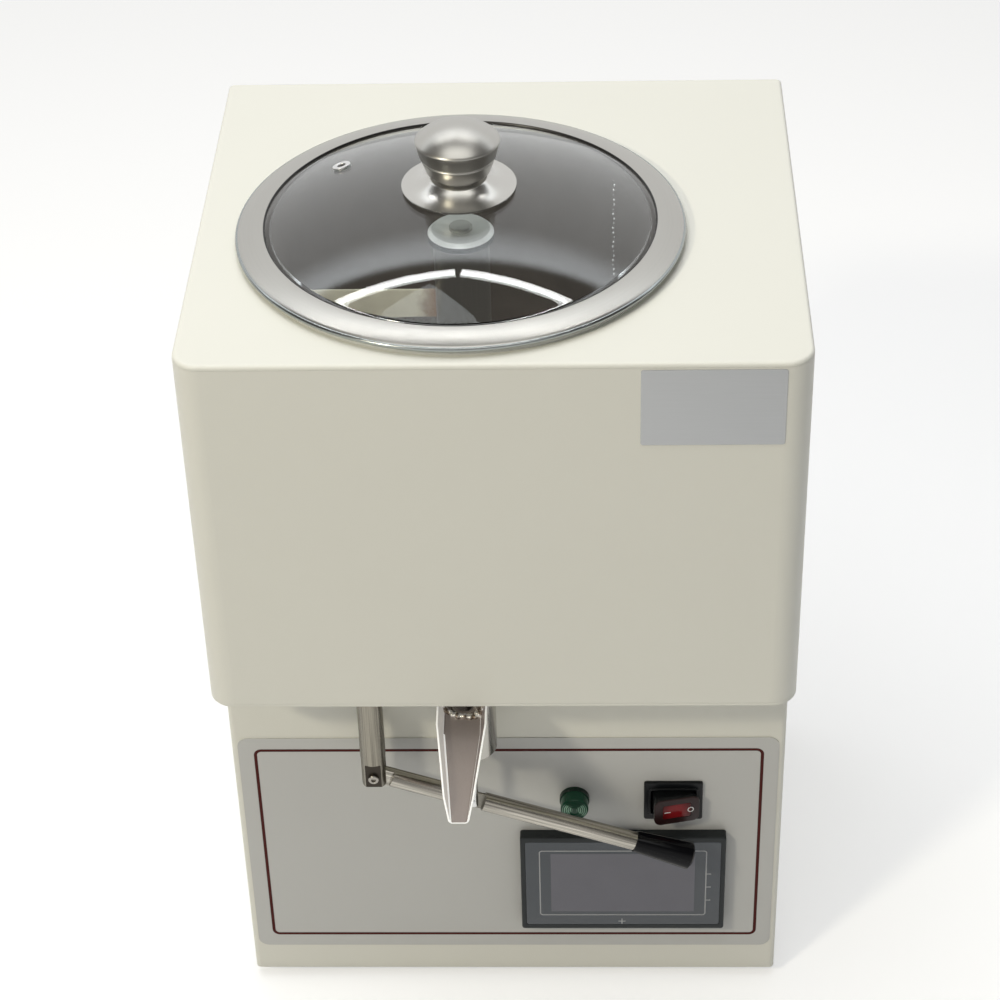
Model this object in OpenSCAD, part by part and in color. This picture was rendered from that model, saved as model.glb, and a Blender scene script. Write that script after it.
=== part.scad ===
// Heated stirring tank for duplicating gel: a tall painted cabinet with a glass lid,
// a lever valve with an open spout under its overhang, and a touch panel below.
// X runs to the right, -Y is the front, Z is up, and the feet stand on Z = 0.

/* [Cabinet] */
// Width over the side walls
cabinet_w = 355; // [330:1:400]
// Depth from the upper front face to the rear cover
cabinet_d = 325; // [312:1:380]
// Height of the casing without its feet
casing_h = 540; // [520:1:600]
// Height of the feet
foot_h = 10; // [6:1:20]
// Diameter of a foot
foot_d = 30; // [20:1:40]
// Distance of the feet from the casing walls
foot_inset = 32; // [24:1:45]
// Depth of the overhang over the lower front
overhang = 61; // [56:1:70]
// Height of the lower casing, up to the overhang
lower_h = 292; // [285:1:300]
// Thickness of the casing sheet
sheet = 2; // [1.5:0.1:3]
// Thickness of the top plate
top_t = 3; // [2.6:0.1:4]
// Rounding of the top plate's edge
top_edge_r = 2.4; // [1:0.1:2.5]
// Radius of the upper front corners
corner_r = 16; // [8:1:24]
// Radius of the other bends
bend_r = 3.5; // [3.2:0.1:5]
// Width of the flanges behind the rear cover
flange_w = 16; // [12:1:20]
// Clearance between sheets that lie beside each other
sheet_gap = 0.2; // [0.1:0.05:0.5]

/* [Tank] */
// Left and right place of the tank's axis
tank_x = -21.5; // [-24:0.5:0]
// Inner radius of the tank
tank_r = 115; // [112:0.5:117]
// Inner depth of the tank below the top plate
tank_depth = 200; // [185:1:205]
// Thickness of the tank's sheet
tank_t = 1.5; // [1:0.1:2]
// Inner rounding at the tank's floor
tank_floor_r = 2; // [1.5:0.1:2.5]
// Radius of the rolled edge of the tank's flange
flange_bead_r = 1.5; // [1.3:0.1:1.8]
// Thickness of the seal between the top plate and the tank's flange
gasket_t = 3.4; // [2:0.1:5]
// Outer radius of the pipe that stands in the tank
pipe_r = 11; // [10:0.5:12]
// Inner radius of the standing pipe
pipe_bore_r = 8; // [7:0.5:9]
// Distance of the pipe's mouth below the top plate
pipe_drop = 14; // [12:1:30]
// Height of the band heater
heater_h = 90; // [60:1:110]
// Thickness of the band heater
heater_t = 3; // [2:0.5:4]

/* [Drive] */
// Radius of the drive shaft
shaft_r = 5; // [4:0.5:6]
// Side of the gearbox
gearbox_w = 62; // [50:1:70]
// Height of the gearbox
gearbox_h = 44; // [30:1:60]
// Radius of the motor
motor_r = 26; // [20:1:30]
// Height of the motor
motor_h = 78; // [60:1:90]
// Radius of the shaft coupling
coupling_r = 11; // [9.5:0.5:16]
// Clearance of the coupling to the deck below it and the tank above it
coupling_gap = 4; // [2:0.5:5]
// Running clearance of turning and sliding round parts
run = 0.05; // [0.02:0.01:0.1]

/* [Stirrer] */
// Outer radius of the stirrer's sleeve
sleeve_r = 16.5; // [15:0.5:18]
// Wall of the sleeve
sleeve_t = 1.5; // [1:0.1:2.5]
// Distance of the sleeve above the tank's floor
sleeve_lift = 12; // [8:1:30]
// Radius of the hub disc on the sleeve
hub_r = 19.5; // [18.5:0.5:24]
// Thickness of the hub disc
hub_t = 6; // [4:0.5:9]
// Height of the paddles
paddle_h = 17; // [12:1:24]
// Thickness of the paddles
paddle_t = 2.5; // [1.5:0.1:4]
// Reach of the upper paddle from the axis
paddle_reach = 98; // [60:1:104]
// Reach of the lower paddle from the axis
low_paddle_reach = 78; // [50:1:82]
// Height of the upper paddle's middle below the top plate
paddle_drop = 49; // [40:1:80]
// Height of the lower paddle's middle above the tank's floor
low_paddle_rise = 52; // [46:1:80]

/* [Lid] */
// Reach of the lid's steel rim past the tank's wall
lid_over = 16; // [13:0.5:19]
// Width of the steel rim
rim_w = 15.5; // [13.5:0.5:18]
// Height of the rim's outer wall
rim_wall = 1.4; // [1.2:0.1:2]
// Thickness of the rim's steel
rim_t = 0.7; // [0.5:0.1:0.8]
// Height of the rim's inner fold over the glass
rim_fold = 1.4; // [1.2:0.1:3]
// How far the rim reaches over the glass
rim_grip = 3.5; // [2.5:0.1:3.6]
// Thickness of the glass
glass_t = 3.2; // [3:0.1:4.5]
// Rise of the glass from the rim to its middle
dome_rise = 23.9; // [12:0.1:30]
// Radius of the vent hole's grommet
vent_r = 5.6; // [4.5:0.1:7]
// Radius of the vent hole
vent_bore_r = 2.5; // [1.5:0.1:3]
// Distance of the vent from the lid's middle
vent_out = 84; // [60:1:95]
// Direction of the vent from the lid's middle
vent_angle = 149; // [0:1:359]

/* [Knob] */
// Largest radius of the knob
knob_r = 24.7; // [22:0.1:28]
// Height of the knob's rounded top
cap_h = 10; // [6:0.2:14]
// Height of the knob's upper band
band_h = 7.6; // [4:0.2:12]
// Height of the knob's tapered lower band
taper_h = 12; // [8:0.2:18]
// Radius of the knob's lower end
knob_low_r = 17.5; // [16:0.1:18.5]
// Radius of the neck between the knob and its base
neck_r = 14.5; // [10:0.5:15.5]
// Height of the neck
neck_h = 3; // [2:0.5:6]
// Radius of the flared knob base
knob_base_r = 33.5; // [28:0.5:38]
// Radius of the flared base's upper end
base_top_r = 17.6; // [16:0.1:20]
// Height of the flared knob base
knob_base_h = 8; // [6:0.5:12]
// Thickness of the flared base's edge
base_edge = 1.5; // [1:0.1:2.5]

/* [Valve] */
// Distance of the valve's axis behind the upper front face
valve_y = 36; // [35:0.5:37]
// Distance of the valve's axis from the tank's inner wall
valve_inset = 12.5; // [12.5:0.5:16]
// Outer radius of the valve tube
tube_r = 16; // [15:0.5:17]
// Radius of the valve tube's bore
tube_bore_r = 13; // [12:0.5:13.5]
// Height of the tube's lower end above the casing's floor
tube_low = 228; // [222:1:232]
// Radius of the valve stem
stem_r = 3; // [2.8:0.1:3.5]
// Radius of the hole that the plug closes
seat_r = 8; // [7:0.5:8.5]
// Height of the stem seal in the tube's lower end
seal_h = 16; // [10:1:22]
// Height of the plug
plug_h = 10; // [8:0.5:13]

/* [Spout] */
// Place of the spout beside the valve's axis
spout_offset = -4; // [-4.5:0.5:0]
// Height of the spout's root above the casing's floor
spout_root = 266; // [262:1:268]
// Slope of the spout
spout_slope = 10; // [0:1:25]
// Length of the spout's floor
spout_len = 80; // [60:1:100]
// Length of the spout's straight stretch
spout_straight = 14; // [8:1:24]
// Width of the spout's floor at the root
spout_w = 22; // [18:0.5:22]
// Width of the spout's floor at the lip
lip_w = 10; // [8:0.5:16]
// Height of the spout's walls
spout_wall = 10.6; // [8:0.2:14]
// Lean of each wall from its foot to its edge
spout_flare = 3.3; // [0:0.1:4]
// Length over which the walls fall to the lip
lip_cut = 11.3; // [6:0.1:20]
// Thickness of the spout's sheet
spout_t = 1.2; // [0.8:0.1:1.6]

/* [Lever] */
// Left and right place of the post
post_x = -84; // [-88:0.5:-80]
// Radius of the post
post_r = 8; // [7.5:0.5:9]
// Height of the lever's pivot above the casing's floor
pivot_z = 204.8; // [203:0.1:207]
// Distance of the post's lower end below the pivot
post_tail = 7.5; // [7:0.5:10]
// Width of the slot in the post
slot_w = 5; // [4.4:0.1:6]
// Height of the slot above the pivot
slot_up = 15; // [14:0.5:20]
// Angle of the resting lever below the horizontal
lever_rest = 20.2; // [18:0.1:21]
// Angle through which the lever lifts
lever_travel = 22; // [15:1:22]
// Radius of the lever bar
lever_r = 6; // [5.5:0.1:6.5]
// Distance from the pivot to the grip's foot
lever_len = 176; // [165:1:185]
// Distance from the pivot to the bar's shoulder beside the post
shoulder = 11.5; // [11:0.5:14]
// Thickness of the flats on the bar
tongue_t = 4.4; // [3.6:0.1:4.6]
// Thickness of the flat inside the stem's fork
fork_tongue_t = 1.9; // [1.5:0.1:2.1]
// Width of the slot in the stem's fork
fork_slot = 2.5; // [2.3:0.1:2.8]
// Radius of the fork's pin
fork_pin_r = 1; // [0.9:0.05:1.2]
// Clearance of the fork's pin in the bar's slot
pin_play = 0.55; // [0.5:0.05:0.8]
// Radius of the pivot screw's shank
pivot_r = 2; // [1.75:0.25:2.5]
// Length of the grip
grip_len = 40; // [34:1:60]
// Radius of the grip's foot
grip_r1 = 6.8; // [6.7:0.1:8]
// Radius of the grip's end
grip_r2 = 9; // [8:0.1:11]

/* [Controls] */
// Width of the front overlay
overlay_w = 347; // [340:1:349]
// Height of the front overlay
overlay_h = 189; // [185:1:200]
// Height of the overlay's lower edge above the casing's floor
overlay_z = 22.5; // [15:0.5:30]
// Thickness of the overlay
overlay_t = 0.6; // [0.3:0.1:1]
// Corner radius of the overlay
overlay_r = 7; // [3:0.5:12]
// Distance of the touch panel's middle from the casing's right side
panel_in = 103.5; // [98:0.5:108]
// Height of the touch panel's middle above the casing's floor
panel_z = 88.5; // [86:0.5:92]
// Width of the touch panel
panel_w = 135; // [132:0.5:138]
// Height of the touch panel
panel_h = 84.4; // [82:0.1:88]
// Depth of the touch panel in front of the overlay
panel_t = 8; // [6:0.5:11]
// Corner radius of the touch panel
panel_r = 5; // [2:0.5:8]
// Depth of the touch panel's case behind the front
panel_back = 28; // [20:1:34]
// Width of the touch panel's film
film_w = 129; // [127:0.5:130]
// Height of the touch panel's film
film_h = 76.5; // [74:0.5:78]
// Distance of the lamp from the casing's right side
lamp_in = 135; // [128:0.5:140]
// Height of the lamp's and the switch's middle above the casing's floor
row_z = 159.5; // [156:0.5:164]
// Radius of the lamp's collar
lamp_r = 10.4; // [9.6:0.1:12]
// Radius of the lamp's lens
lens_r = 9.2; // [8:0.1:9.4]
// Depth of the lamp in front of the overlay
lamp_t = 12; // [8:0.5:16]
// Distance of the switch from the casing's right side
switch_in = 71; // [66:0.5:75]
// Width of the switch's frame
switch_w = 38; // [36:0.5:40]
// Height of the switch's frame
switch_h = 32; // [30:0.5:34]
// Width of the rocker
rocker_w = 24; // [22:0.5:25]
// Height of the rocker
rocker_h = 15; // [13:0.5:17]
// Tilt of the resting rocker
rocker_tilt = 8; // [5:0.5:9]

/* [Rear] */
// Side of the fan's frame
fan_w = 92; // [80:1:120]
// Depth of the fan's frame
fan_t = 25; // [20:1:30]
// Height of the fan's middle above the casing's floor
fan_z = 430; // [400:1:450]
// Left and right place of the fan
fan_x = 0; // [-30:1:30]
// Number of fan blades
fan_blades = 7; // [5:1:9]
// Distance of the mains inlet from the casing's right side
inlet_in = 67.5; // [52.5:0.5:87.5]
// Height of the mains inlet above the casing's floor
inlet_z = 60; // [45:1:80]
// Height of the mains inlet's flange
inlet_h = 30; // [26:1:34]
// Depth of the mains inlet's socket
inlet_depth = 17; // [15:1:20]
// Distance of the fuse holder from the mains inlet
fuse_gap = 45; // [35:1:55]
// Number of vent slots in the rear cover
vent_slots = 8; // [4:1:12]
// Length of a vent slot
vent_len = 90; // [50:1:110]

/* [Hidden] */
$fn = 64;

// Places along Z, from the feet up
floor_z = foot_h;
deck_z = floor_z + lower_h;
top_z = floor_z + casing_h;
plate_z = top_z - top_t;
tank_floor = top_z - tank_depth;
coupling_z = deck_z + sheet + coupling_gap;
lid_r = tank_r + lid_over;
inlet_x = cabinet_w / 2 - inlet_in;
fuse_x = inlet_x - fuse_gap;
coupling_h = tank_floor - tank_t - coupling_gap - coupling_z;
pivot_h = floor_z + pivot_z;

// The rearmost piece is the fan guard's ring, and the spout's lip is foremost
guard_wire = 1.6;
guard_t = 3 * guard_wire;
spout_back = valve_y - tube_r;
spout_reach = spout_len * cos(spout_slope) - spout_back;
front_y = -(cabinet_d + guard_t - spout_reach) / 2;
rear_y = front_y + cabinet_d;
lower_y = front_y + overhang;
face_y = lower_y - overlay_t;
stem_y = front_y + valve_y;
axis_y = stem_y + tank_r - valve_inset;
cover_y = rear_y - sheet;
panel_x = cabinet_w / 2 - panel_in;
lamp_x = cabinet_w / 2 - lamp_in;
switch_x = cabinet_w / 2 - switch_in;

// Stem and lever
arm = tank_x - post_x;
rest_drop = arm * tan(lever_rest);
lifted_drop = arm * tan(lever_rest - lever_travel);
stem_lift = rest_drop - lifted_drop;
fork_z = pivot_h - rest_drop;
pin_far = arm / cos(lever_rest);
fork_end = 4.6;
fork_room = 1.2;
stem_top = tank_floor + plug_h;

// Lid, whose rim stands on the rolled edge of the tank's flange
flange_z = top_z + gasket_t;
bead_x = lid_r - rim_t / 2;
rim_foot = flange_z + 2 * flange_bead_r;
rim_gap = 0.3;
seat_gap = 0.05;
glass_low = flange_z + tank_t + rim_gap + rim_t + seat_gap;
glass_z = glass_low + glass_t;
dome_in_r = lid_r - rim_w;
glass_edge_r = dome_in_r + rim_grip;
dome_rad = (dome_in_r * dome_in_r + dome_rise * dome_rise) / (2 * dome_rise);
glass_top = glass_z + dome_rise;
dome_z = glass_top - dome_rad;
washer_t = 0.8;
knob_seat = glass_top - dome_sag(knob_base_r) + washer_t;
neck_z = knob_seat + knob_base_h;
knob_z = neck_z + neck_h;

// Blades of the stirrer
upper_paddle_z = top_z - paddle_drop;
low_paddle_z = tank_floor + low_paddle_rise;
sleeve_top = top_z - 4;
pipe_top = top_z - pipe_drop;
hub_z = sleeve_top;

// Small shared sizes
screw_r = 2;
screw_head_r = 3.6;
screw_head_h = 2.4;
screw_bite = 10;
bolt_head_r = 7.5;
bolt_head_h = 4;
rocker_gap = 0.4;
rocker_ear_r = 1.6;
rocker_ear_l = 1.6;
inlet_w = 48;
socket_w = 24;
socket_h = 16.4;
pin_w = 2;
pin_h = 4;
panel_cut = 3;
fuse_r = 9;
fan_bore_r = fan_w / 2 - 3;
fan_wheel_r = fan_bore_r - 1.5;
fan_hub_r = 18;
fan_plate = 3;
fan_axle = fan_t - fan_plate - 7;

// How far a sphere's cap of the dome has sunk at a distance from its middle
function dome_sag(r) = dome_rad - sqrt(dome_rad * dome_rad - r * r);

// Flat rectangle with round corners, centred on the origin
module round_rect(w, h, r) {
    square([w, h - 2 * r], center = true);
    square([w - 2 * r, h], center = true);
    for (x = [-1, 1], y = [-1, 1])
        translate([x * (w / 2 - r), y * (h / 2 - r)]) circle(r);
}

// Plan of the casing from its front face to its rear, with its own front corners
module casing_plan(front, rear, half_w, front_r, rear_r) {
    translate([-half_w, front + front_r]) square([2 * half_w, rear - front - front_r - rear_r]);
    translate([-half_w + front_r, front]) square([2 * (half_w - front_r), front_r + 0.01]);
    translate([-half_w + rear_r, rear - rear_r - 0.01]) square([2 * (half_w - rear_r), rear_r + 0.01]);
    for (x = [-1, 1]) {
        translate([x * (half_w - front_r), front + front_r]) circle(front_r);
        translate([x * (half_w - rear_r), rear - rear_r]) circle(rear_r);
    }
}

// Wall that runs round the front and both sides and turns in behind the rear cover
module casing_wall(front, front_r, low, high) {
    translate([0, 0, low]) linear_extrude(high - low) difference() {
        casing_plan(front, cover_y, cabinet_w / 2, front_r, bend_r);
        casing_plan(front + sheet, cover_y - sheet, cabinet_w / 2 - sheet,
                    front_r - sheet, bend_r - sheet);
        translate([-cabinet_w / 2 + flange_w, cover_y - 2 * sheet])
            square([cabinet_w - 2 * flange_w, 3 * sheet]);
    }
}

// Plate that lies on XZ, pointing to the rear from the given Y
module front_plate(x, y, z, w, h, t, r) {
    translate([x, y + t, z]) rotate([90, 0, 0]) linear_extrude(t) round_rect(w, h, r);
}

// Round bar along Y, from y towards the rear
module bar_y(x, y, z, r, len) {
    translate([x, y, z]) rotate([-90, 0, 0]) cylinder(r = r, h = len);
}

// Upper casing, whose sides reach down past the deck behind the overhang
module upper_shell() {
    color("beige") difference() {
        casing_wall(front_y, corner_r, deck_z, plate_z);
        translate([-cabinet_w, front_y - 1, deck_z - 1])
            cube([2 * cabinet_w, overhang + corner_r + 1, sheet + 1]);
    }
}

// Rounded lid plate of the casing, with the tank's hole
module top_plate() {
    color("beige") difference() {
        hull() for (x = [-1, 1], c = [[front_y, 1, corner_r], [rear_y, -1, bend_r]])
            translate([x * (cabinet_w / 2 - c[2]), c[0] + c[1] * c[2], plate_z]) {
                cylinder(r = c[2], h = top_t - top_edge_r, $fn = 32);
                translate([0, 0, top_t - top_edge_r]) rotate_extrude($fn = 32)
                    translate([c[2] - top_edge_r, 0]) intersection() {
                        circle(top_edge_r, $fn = 32);
                        square(top_edge_r);
                    }
            }
        translate([tank_x, axis_y, plate_z - 1])
            cylinder(r = tank_r + tank_t + sheet_gap, h = top_t + 2, $fn = 128);
    }
}

module lower_shell() {
    color("beige") difference() {
        casing_wall(lower_y, bend_r, floor_z + sheet, deck_z);
        panel_hole(lower_y - 1, 3 * sheet);
        row_holes(lower_y - 1, 3 * sheet);
    }
}

// Opening for the touch panel's case, in the front wall and the overlay
module panel_hole(y, t) {
    front_plate(panel_x, y, floor_z + panel_z, panel_w - 4 * panel_cut, panel_h - 2 * panel_cut, t, 2);
}

// Openings for the lamp's and the switch's bodies
module row_holes(y, t) {
    bar_y(lamp_x, y, floor_z + row_z, lens_r - 1.1, t);
    front_plate(switch_x, y, floor_z + row_z, switch_w - 7, switch_h - 7, t, 0.5);
}

// Floor of the upper housing, which reaches back through the casing as the motor's deck
module deck_plate() {
    color("beige") difference() {
        translate([0, 0, deck_z]) linear_extrude(sheet) {
            casing_plan(front_y, rear_y - 2 * sheet - sheet_gap,
                        cabinet_w / 2 - sheet - sheet_gap, corner_r - sheet, 1);
            casing_plan(front_y, lower_y + corner_r, cabinet_w / 2, corner_r, sheet_gap);
        }
        translate([tank_x, stem_y, deck_z - 1]) cylinder(r = tube_r + sheet_gap, h = sheet + 2);
        translate([tank_x, axis_y, deck_z - 1]) cylinder(r = coupling_r + 3, h = sheet + 2);
        translate([post_x, stem_y, deck_z - 1]) cylinder(r = 3, h = sheet + 2);
        motor_screw_places() translate([0, 0, deck_z - 1]) cylinder(r = screw_r + run, h = sheet + 2);
    }
}

module base_plate() {
    color("beige") difference() {
        translate([0, 0, floor_z]) linear_extrude(sheet)
            casing_plan(lower_y, cover_y, cabinet_w / 2, bend_r, bend_r);
        foot_places() translate([0, 0, floor_z - 1]) cylinder(r = screw_r + run, h = sheet + 2);
    }
}

// Places of the four feet, measured from the lower casing's walls
module foot_places() {
    for (x = [-1, 1], y = [lower_y + foot_inset, cover_y - foot_inset])
        translate([x * (cabinet_w / 2 - foot_inset), y, 0]) children();
}

module feet() {
    color("dimgray") foot_places() difference() {
        cylinder(r1 = foot_d / 2 - 2, r2 = foot_d / 2, h = foot_h);
        translate([0, 0, -1]) cylinder(r = screw_head_r, h = foot_h / 2 + 1);
        translate([0, 0, -1]) cylinder(r = screw_r + run, h = foot_h + 2);
    }
}

// Flat rear cover with the fan's hole, vent slots, and holes for the inlet and the fuse
module rear_cover() {
    slot_pitch = 11;
    slot_low = 170;
    color("beige") difference() {
        translate([0, rear_y, (floor_z + plate_z) / 2]) rotate([90, 0, 0])
            linear_extrude(sheet) round_rect(cabinet_w - 2 * sheet, plate_z - floor_z - 2 * sheet_gap, 3);
        bar_y(fan_x, cover_y - 1, floor_z + fan_z, fan_bore_r, sheet + 2);
        for (i = [0 : vent_slots - 1], x = [-1, 1])
            front_plate(x * (vent_len / 2 + 12), cover_y - 1, floor_z + slot_low + i * slot_pitch,
                        vent_len, 4, sheet + 2, 1.9);
        front_plate(inlet_x, cover_y - 1, floor_z + inlet_z, socket_w + 4, socket_h + 4, sheet + 2, 2);
        bar_y(fuse_x, cover_y - 1, floor_z + inlet_z, fuse_r - 2.4, sheet + 2);
        cover_screw_places() bar_y(0, cover_y - 1, 0, screw_r + run, sheet + 2);
        fan_screw_places() bar_y(0, cover_y - 1, 0, screw_r, sheet + 2);
    }
}

// Places of the cover's screws, on its turned-in flanges
module cover_screw_places() {
    for (x = [-1, 1], z = [floor_z + 25, floor_z + casing_h / 2, top_z - 25])
        translate([x * (cabinet_w / 2 - flange_w / 2 - 1), 0, z]) children();
}

module cover_screws() {
    color("silver") cover_screw_places() {
        bar_y(0, cover_y, 0, screw_r, sheet);
        translate([0, rear_y + 1.5, 0]) rotate([90, 0, 0]) difference() {
            cylinder(r = screw_head_r, h = 1.5);
            translate([0, 0, -1]) cylinder(r = 1.4, h = 1.7, $fn = 6);
        }
    }
}

module front_overlay() {
    color("silver") difference() {
        front_plate(0, face_y, floor_z + overlay_z + overlay_h / 2, overlay_w, overlay_h,
                    overlay_t, overlay_r);
        panel_hole(face_y - 1, overlay_t + 2);
        row_holes(face_y - 1, overlay_t + 2);
    }
}

// Round tank in profile: flange, wall, rounded floor and the pipe that stands in its middle
module tank() {
    outer_r = tank_r + tank_t;
    color("lightgray") difference() {
        translate([tank_x, axis_y, 0]) rotate_extrude($fn = 128) {
            translate([tank_r, flange_z]) square([bead_x - tank_r, tank_t]);
            translate([bead_x, flange_z + flange_bead_r]) circle(flange_bead_r);
            translate([tank_r, tank_floor + tank_floor_r])
                square([tank_t, flange_z + 0.01 - tank_floor - tank_floor_r]);
            translate([pipe_bore_r, tank_floor - tank_t])
                square([tank_r - tank_floor_r - pipe_bore_r, tank_t]);
            translate([tank_r - tank_floor_r, tank_floor + tank_floor_r]) intersection() {
                difference() {
                    circle(tank_floor_r + tank_t);
                    circle(tank_floor_r);
                }
                translate([0, -outer_r]) square(outer_r);
            }
            translate([pipe_bore_r, tank_floor - tank_t])
                square([pipe_r - pipe_bore_r, pipe_top - tank_floor + tank_t]);
        }
        translate([tank_x, stem_y, tank_floor - 2 * tank_t]) cylinder(r = seat_r, h = 3 * tank_t);
        probe_bar(screw_r + 1 + run, tank_r - 4, tank_r + 2 * tank_t);
    }
}

// White seal ring below the tank's flange
module tank_gasket() {
    inner_r = tank_r + tank_t + sheet_gap;
    color("white") translate([tank_x, axis_y, top_z]) rotate_extrude($fn = 128)
        translate([inner_r, 0]) square([bead_x - flange_bead_r - sheet_gap - inner_r, gasket_t]);
}

// Band heater round the tank's lower wall, open where its clamp draws it together
module band_heater() {
    inner_r = tank_r + tank_t;
    base = tank_floor + tank_floor_r + 22;
    gap_w = 12;
    color("sienna") translate([tank_x, axis_y, base]) {
        difference() {
            cylinder(r = inner_r + heater_t, h = heater_h, $fn = 128);
            translate([0, 0, -1]) cylinder(r = inner_r, h = heater_h + 2, $fn = 128);
            rotate(20) translate([inner_r - 5, -gap_w / 2, -1]) cube([20, gap_w, heater_h + 2]);
        }
        for (s = [-1, 1]) rotate(20)
            translate([inner_r + 0.6, s * (gap_w / 2 + 1) - 1, 0]) cube([12, 2, heater_h]);
    }
}

// Round bar that points from the tank's axis to the rear, level with the probe
module probe_bar(r, from, to) {
    translate([tank_x, axis_y + from, tank_floor + tank_floor_r + 8])
        rotate([-90, 0, 0]) cylinder(r = r, h = to - from);
}

module temperature_probe() {
    color("silver") {
        probe_bar(screw_r + 1, tank_r - 14, tank_r + 14);
        probe_bar(7, tank_r + tank_t, tank_r + tank_t + 6, $fn = 6);
    }
}

// Button cutout on the tank's floor, beside the motor's coupling
module overheat_cutout() {
    color("ivory") translate([tank_x + 60, axis_y, tank_floor - tank_t - 12]) {
        translate([0, 0, 6]) cylinder(r = 12, h = 6);
        cylinder(r = 8, h = 6);
        for (s = [-1, 1]) translate([s * 5 - 0.4, -3, -8]) cube([0.8, 6, 8.5]);
    }
}

// Gearbox below the deck, with the motor's screws through it
module gearbox() {
    color("darkgray") translate([tank_x, axis_y, deck_z - gearbox_h]) difference() {
        linear_extrude(gearbox_h) round_rect(gearbox_w, gearbox_w, 6);
        translate([0, 0, gearbox_h - 18]) cylinder(r = shaft_r + run, h = 20);
        for (i = [0 : 3]) rotate(45 + 90 * i) translate([gearbox_w / 2 + 3, 0, gearbox_h - screw_bite - 2])
            cylinder(r = screw_r + run, h = screw_bite + 4);
    }
}

module gear_motor() {
    cap_h = 8;
    color("dimgray") translate([tank_x, axis_y, deck_z - gearbox_h - motor_h]) {
        translate([0, 0, cap_h]) cylinder(r = motor_r, h = motor_h - cap_h);
        cylinder(r = motor_r - 3, h = cap_h + 0.01);
        for (s = [-1, 1]) translate([s * 12 - 0.4, -2.5, -7]) cube([0.8, 5, 8]);
    }
}

module motor_screw_places() {
    translate([tank_x, axis_y, 0]) for (i = [0 : 3]) rotate(45 + 90 * i)
        translate([gearbox_w / 2 + 3, 0, 0]) children();
}

module motor_screws() {
    color("silver") motor_screw_places() translate([0, 0, deck_z + sheet]) {
        cylinder(r = screw_head_r, h = screw_head_h);
        translate([0, 0, -sheet - screw_bite]) cylinder(r = screw_r, h = sheet + screw_bite + 0.01);
    }
}

// Plain bearing pressed into the standing pipe
module bush(z, h) {
    translate([tank_x, axis_y, z]) difference() {
        cylinder(r = pipe_bore_r, h = h);
        translate([0, 0, -1]) cylinder(r = shaft_r + run, h = h + 2);
    }
}

module upper_bush() {
    color("goldenrod") bush(pipe_top - 18, 18);
}

module lower_bush() {
    color("goldenrod") bush(tank_floor - tank_t, 18);
}

module drive_shaft() {
    low = deck_z - 16;
    color("silver") translate([tank_x, axis_y, low]) difference() {
        cylinder(r = shaft_r, h = hub_z - low);
        translate([0, 0, hub_z - low - 12]) cylinder(r = screw_r, h = 14);
    }
}

// Clamped coupling round the shaft, between the deck and the tank
module shaft_coupling() {
    color("gray") translate([tank_x, axis_y, coupling_z]) difference() {
        cylinder(r = coupling_r, h = coupling_h);
        translate([0, 0, -1]) cylinder(r = shaft_r, h = coupling_h + 2);
        translate([0, 0, coupling_h / 2 - 0.6]) difference() {
            cylinder(r = coupling_r + 1, h = 1.2);
            translate([0, 0, -1]) cylinder(r = shaft_r + 1.6, h = 4);
        }
        translate([shaft_r - 0.5, -0.6, -1]) cube([coupling_r, 1.2, coupling_h + 2]);
    }
}

module stirrer_sleeve() {
    low = tank_floor + sleeve_lift;
    color("lightgray") translate([tank_x, axis_y, low]) difference() {
        cylinder(r = sleeve_r, h = sleeve_top - low);
        translate([0, 0, -1]) cylinder(r = sleeve_r - sleeve_t, h = sleeve_top - low + 2);
    }
}

// Plate on edge that reaches out from the sleeve at one height
module paddle(angle, z, reach, h, lean) {
    inner = sleeve_r - sleeve_t / 2;
    translate([tank_x, axis_y, z]) rotate(angle) difference() {
        rotate([lean, 0, 0]) translate([inner, -paddle_t / 2, -h / 2]) cube([reach - inner, paddle_t, h]);
        translate([0, 0, -h]) cylinder(r = sleeve_r, h = 2 * h);
    }
}

// Two staggered paddles, and two scrapers that hang from the lower one and the sleeve
module stirrer_paddles() {
    scraper_h = low_paddle_z - tank_floor - 6;
    color("lightgray") {
        paddle(180, upper_paddle_z, paddle_reach, paddle_h, 14);
        paddle(0, low_paddle_z, low_paddle_reach, paddle_h, 0);
        for (r = [low_paddle_reach - 14, low_paddle_reach - 40])
            translate([tank_x + r, axis_y - paddle_t / 2, tank_floor + 6])
                cube([12, paddle_t, scraper_h]);
        paddle(180, tank_floor + 6 + paddle_h / 2 + sleeve_lift, low_paddle_reach, paddle_h, 0);
    }
}

// Disc that closes the sleeve's top and is bolted to the shaft
module hub_disc() {
    chamfer = 1.5;
    color("silver") translate([tank_x, axis_y, hub_z]) difference() {
        union() {
            cylinder(r = hub_r, h = hub_t - chamfer);
            translate([0, 0, hub_t - chamfer]) cylinder(r1 = hub_r, r2 = hub_r - chamfer, h = chamfer);
        }
        translate([0, 0, -1]) cylinder(r = screw_r + run, h = hub_t + 2);
    }
}

module hub_bolt() {
    color("silver") translate([tank_x, axis_y, hub_z + hub_t]) {
        cylinder(r = bolt_head_r, h = bolt_head_h - 1);
        translate([0, 0, bolt_head_h - 1])
            cylinder(r1 = bolt_head_r, r2 = bolt_head_r - 1, h = 1);
        translate([0, 0, -hub_t - screw_bite]) cylinder(r = screw_r, h = hub_t + screw_bite + 0.01);
    }
}

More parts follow.
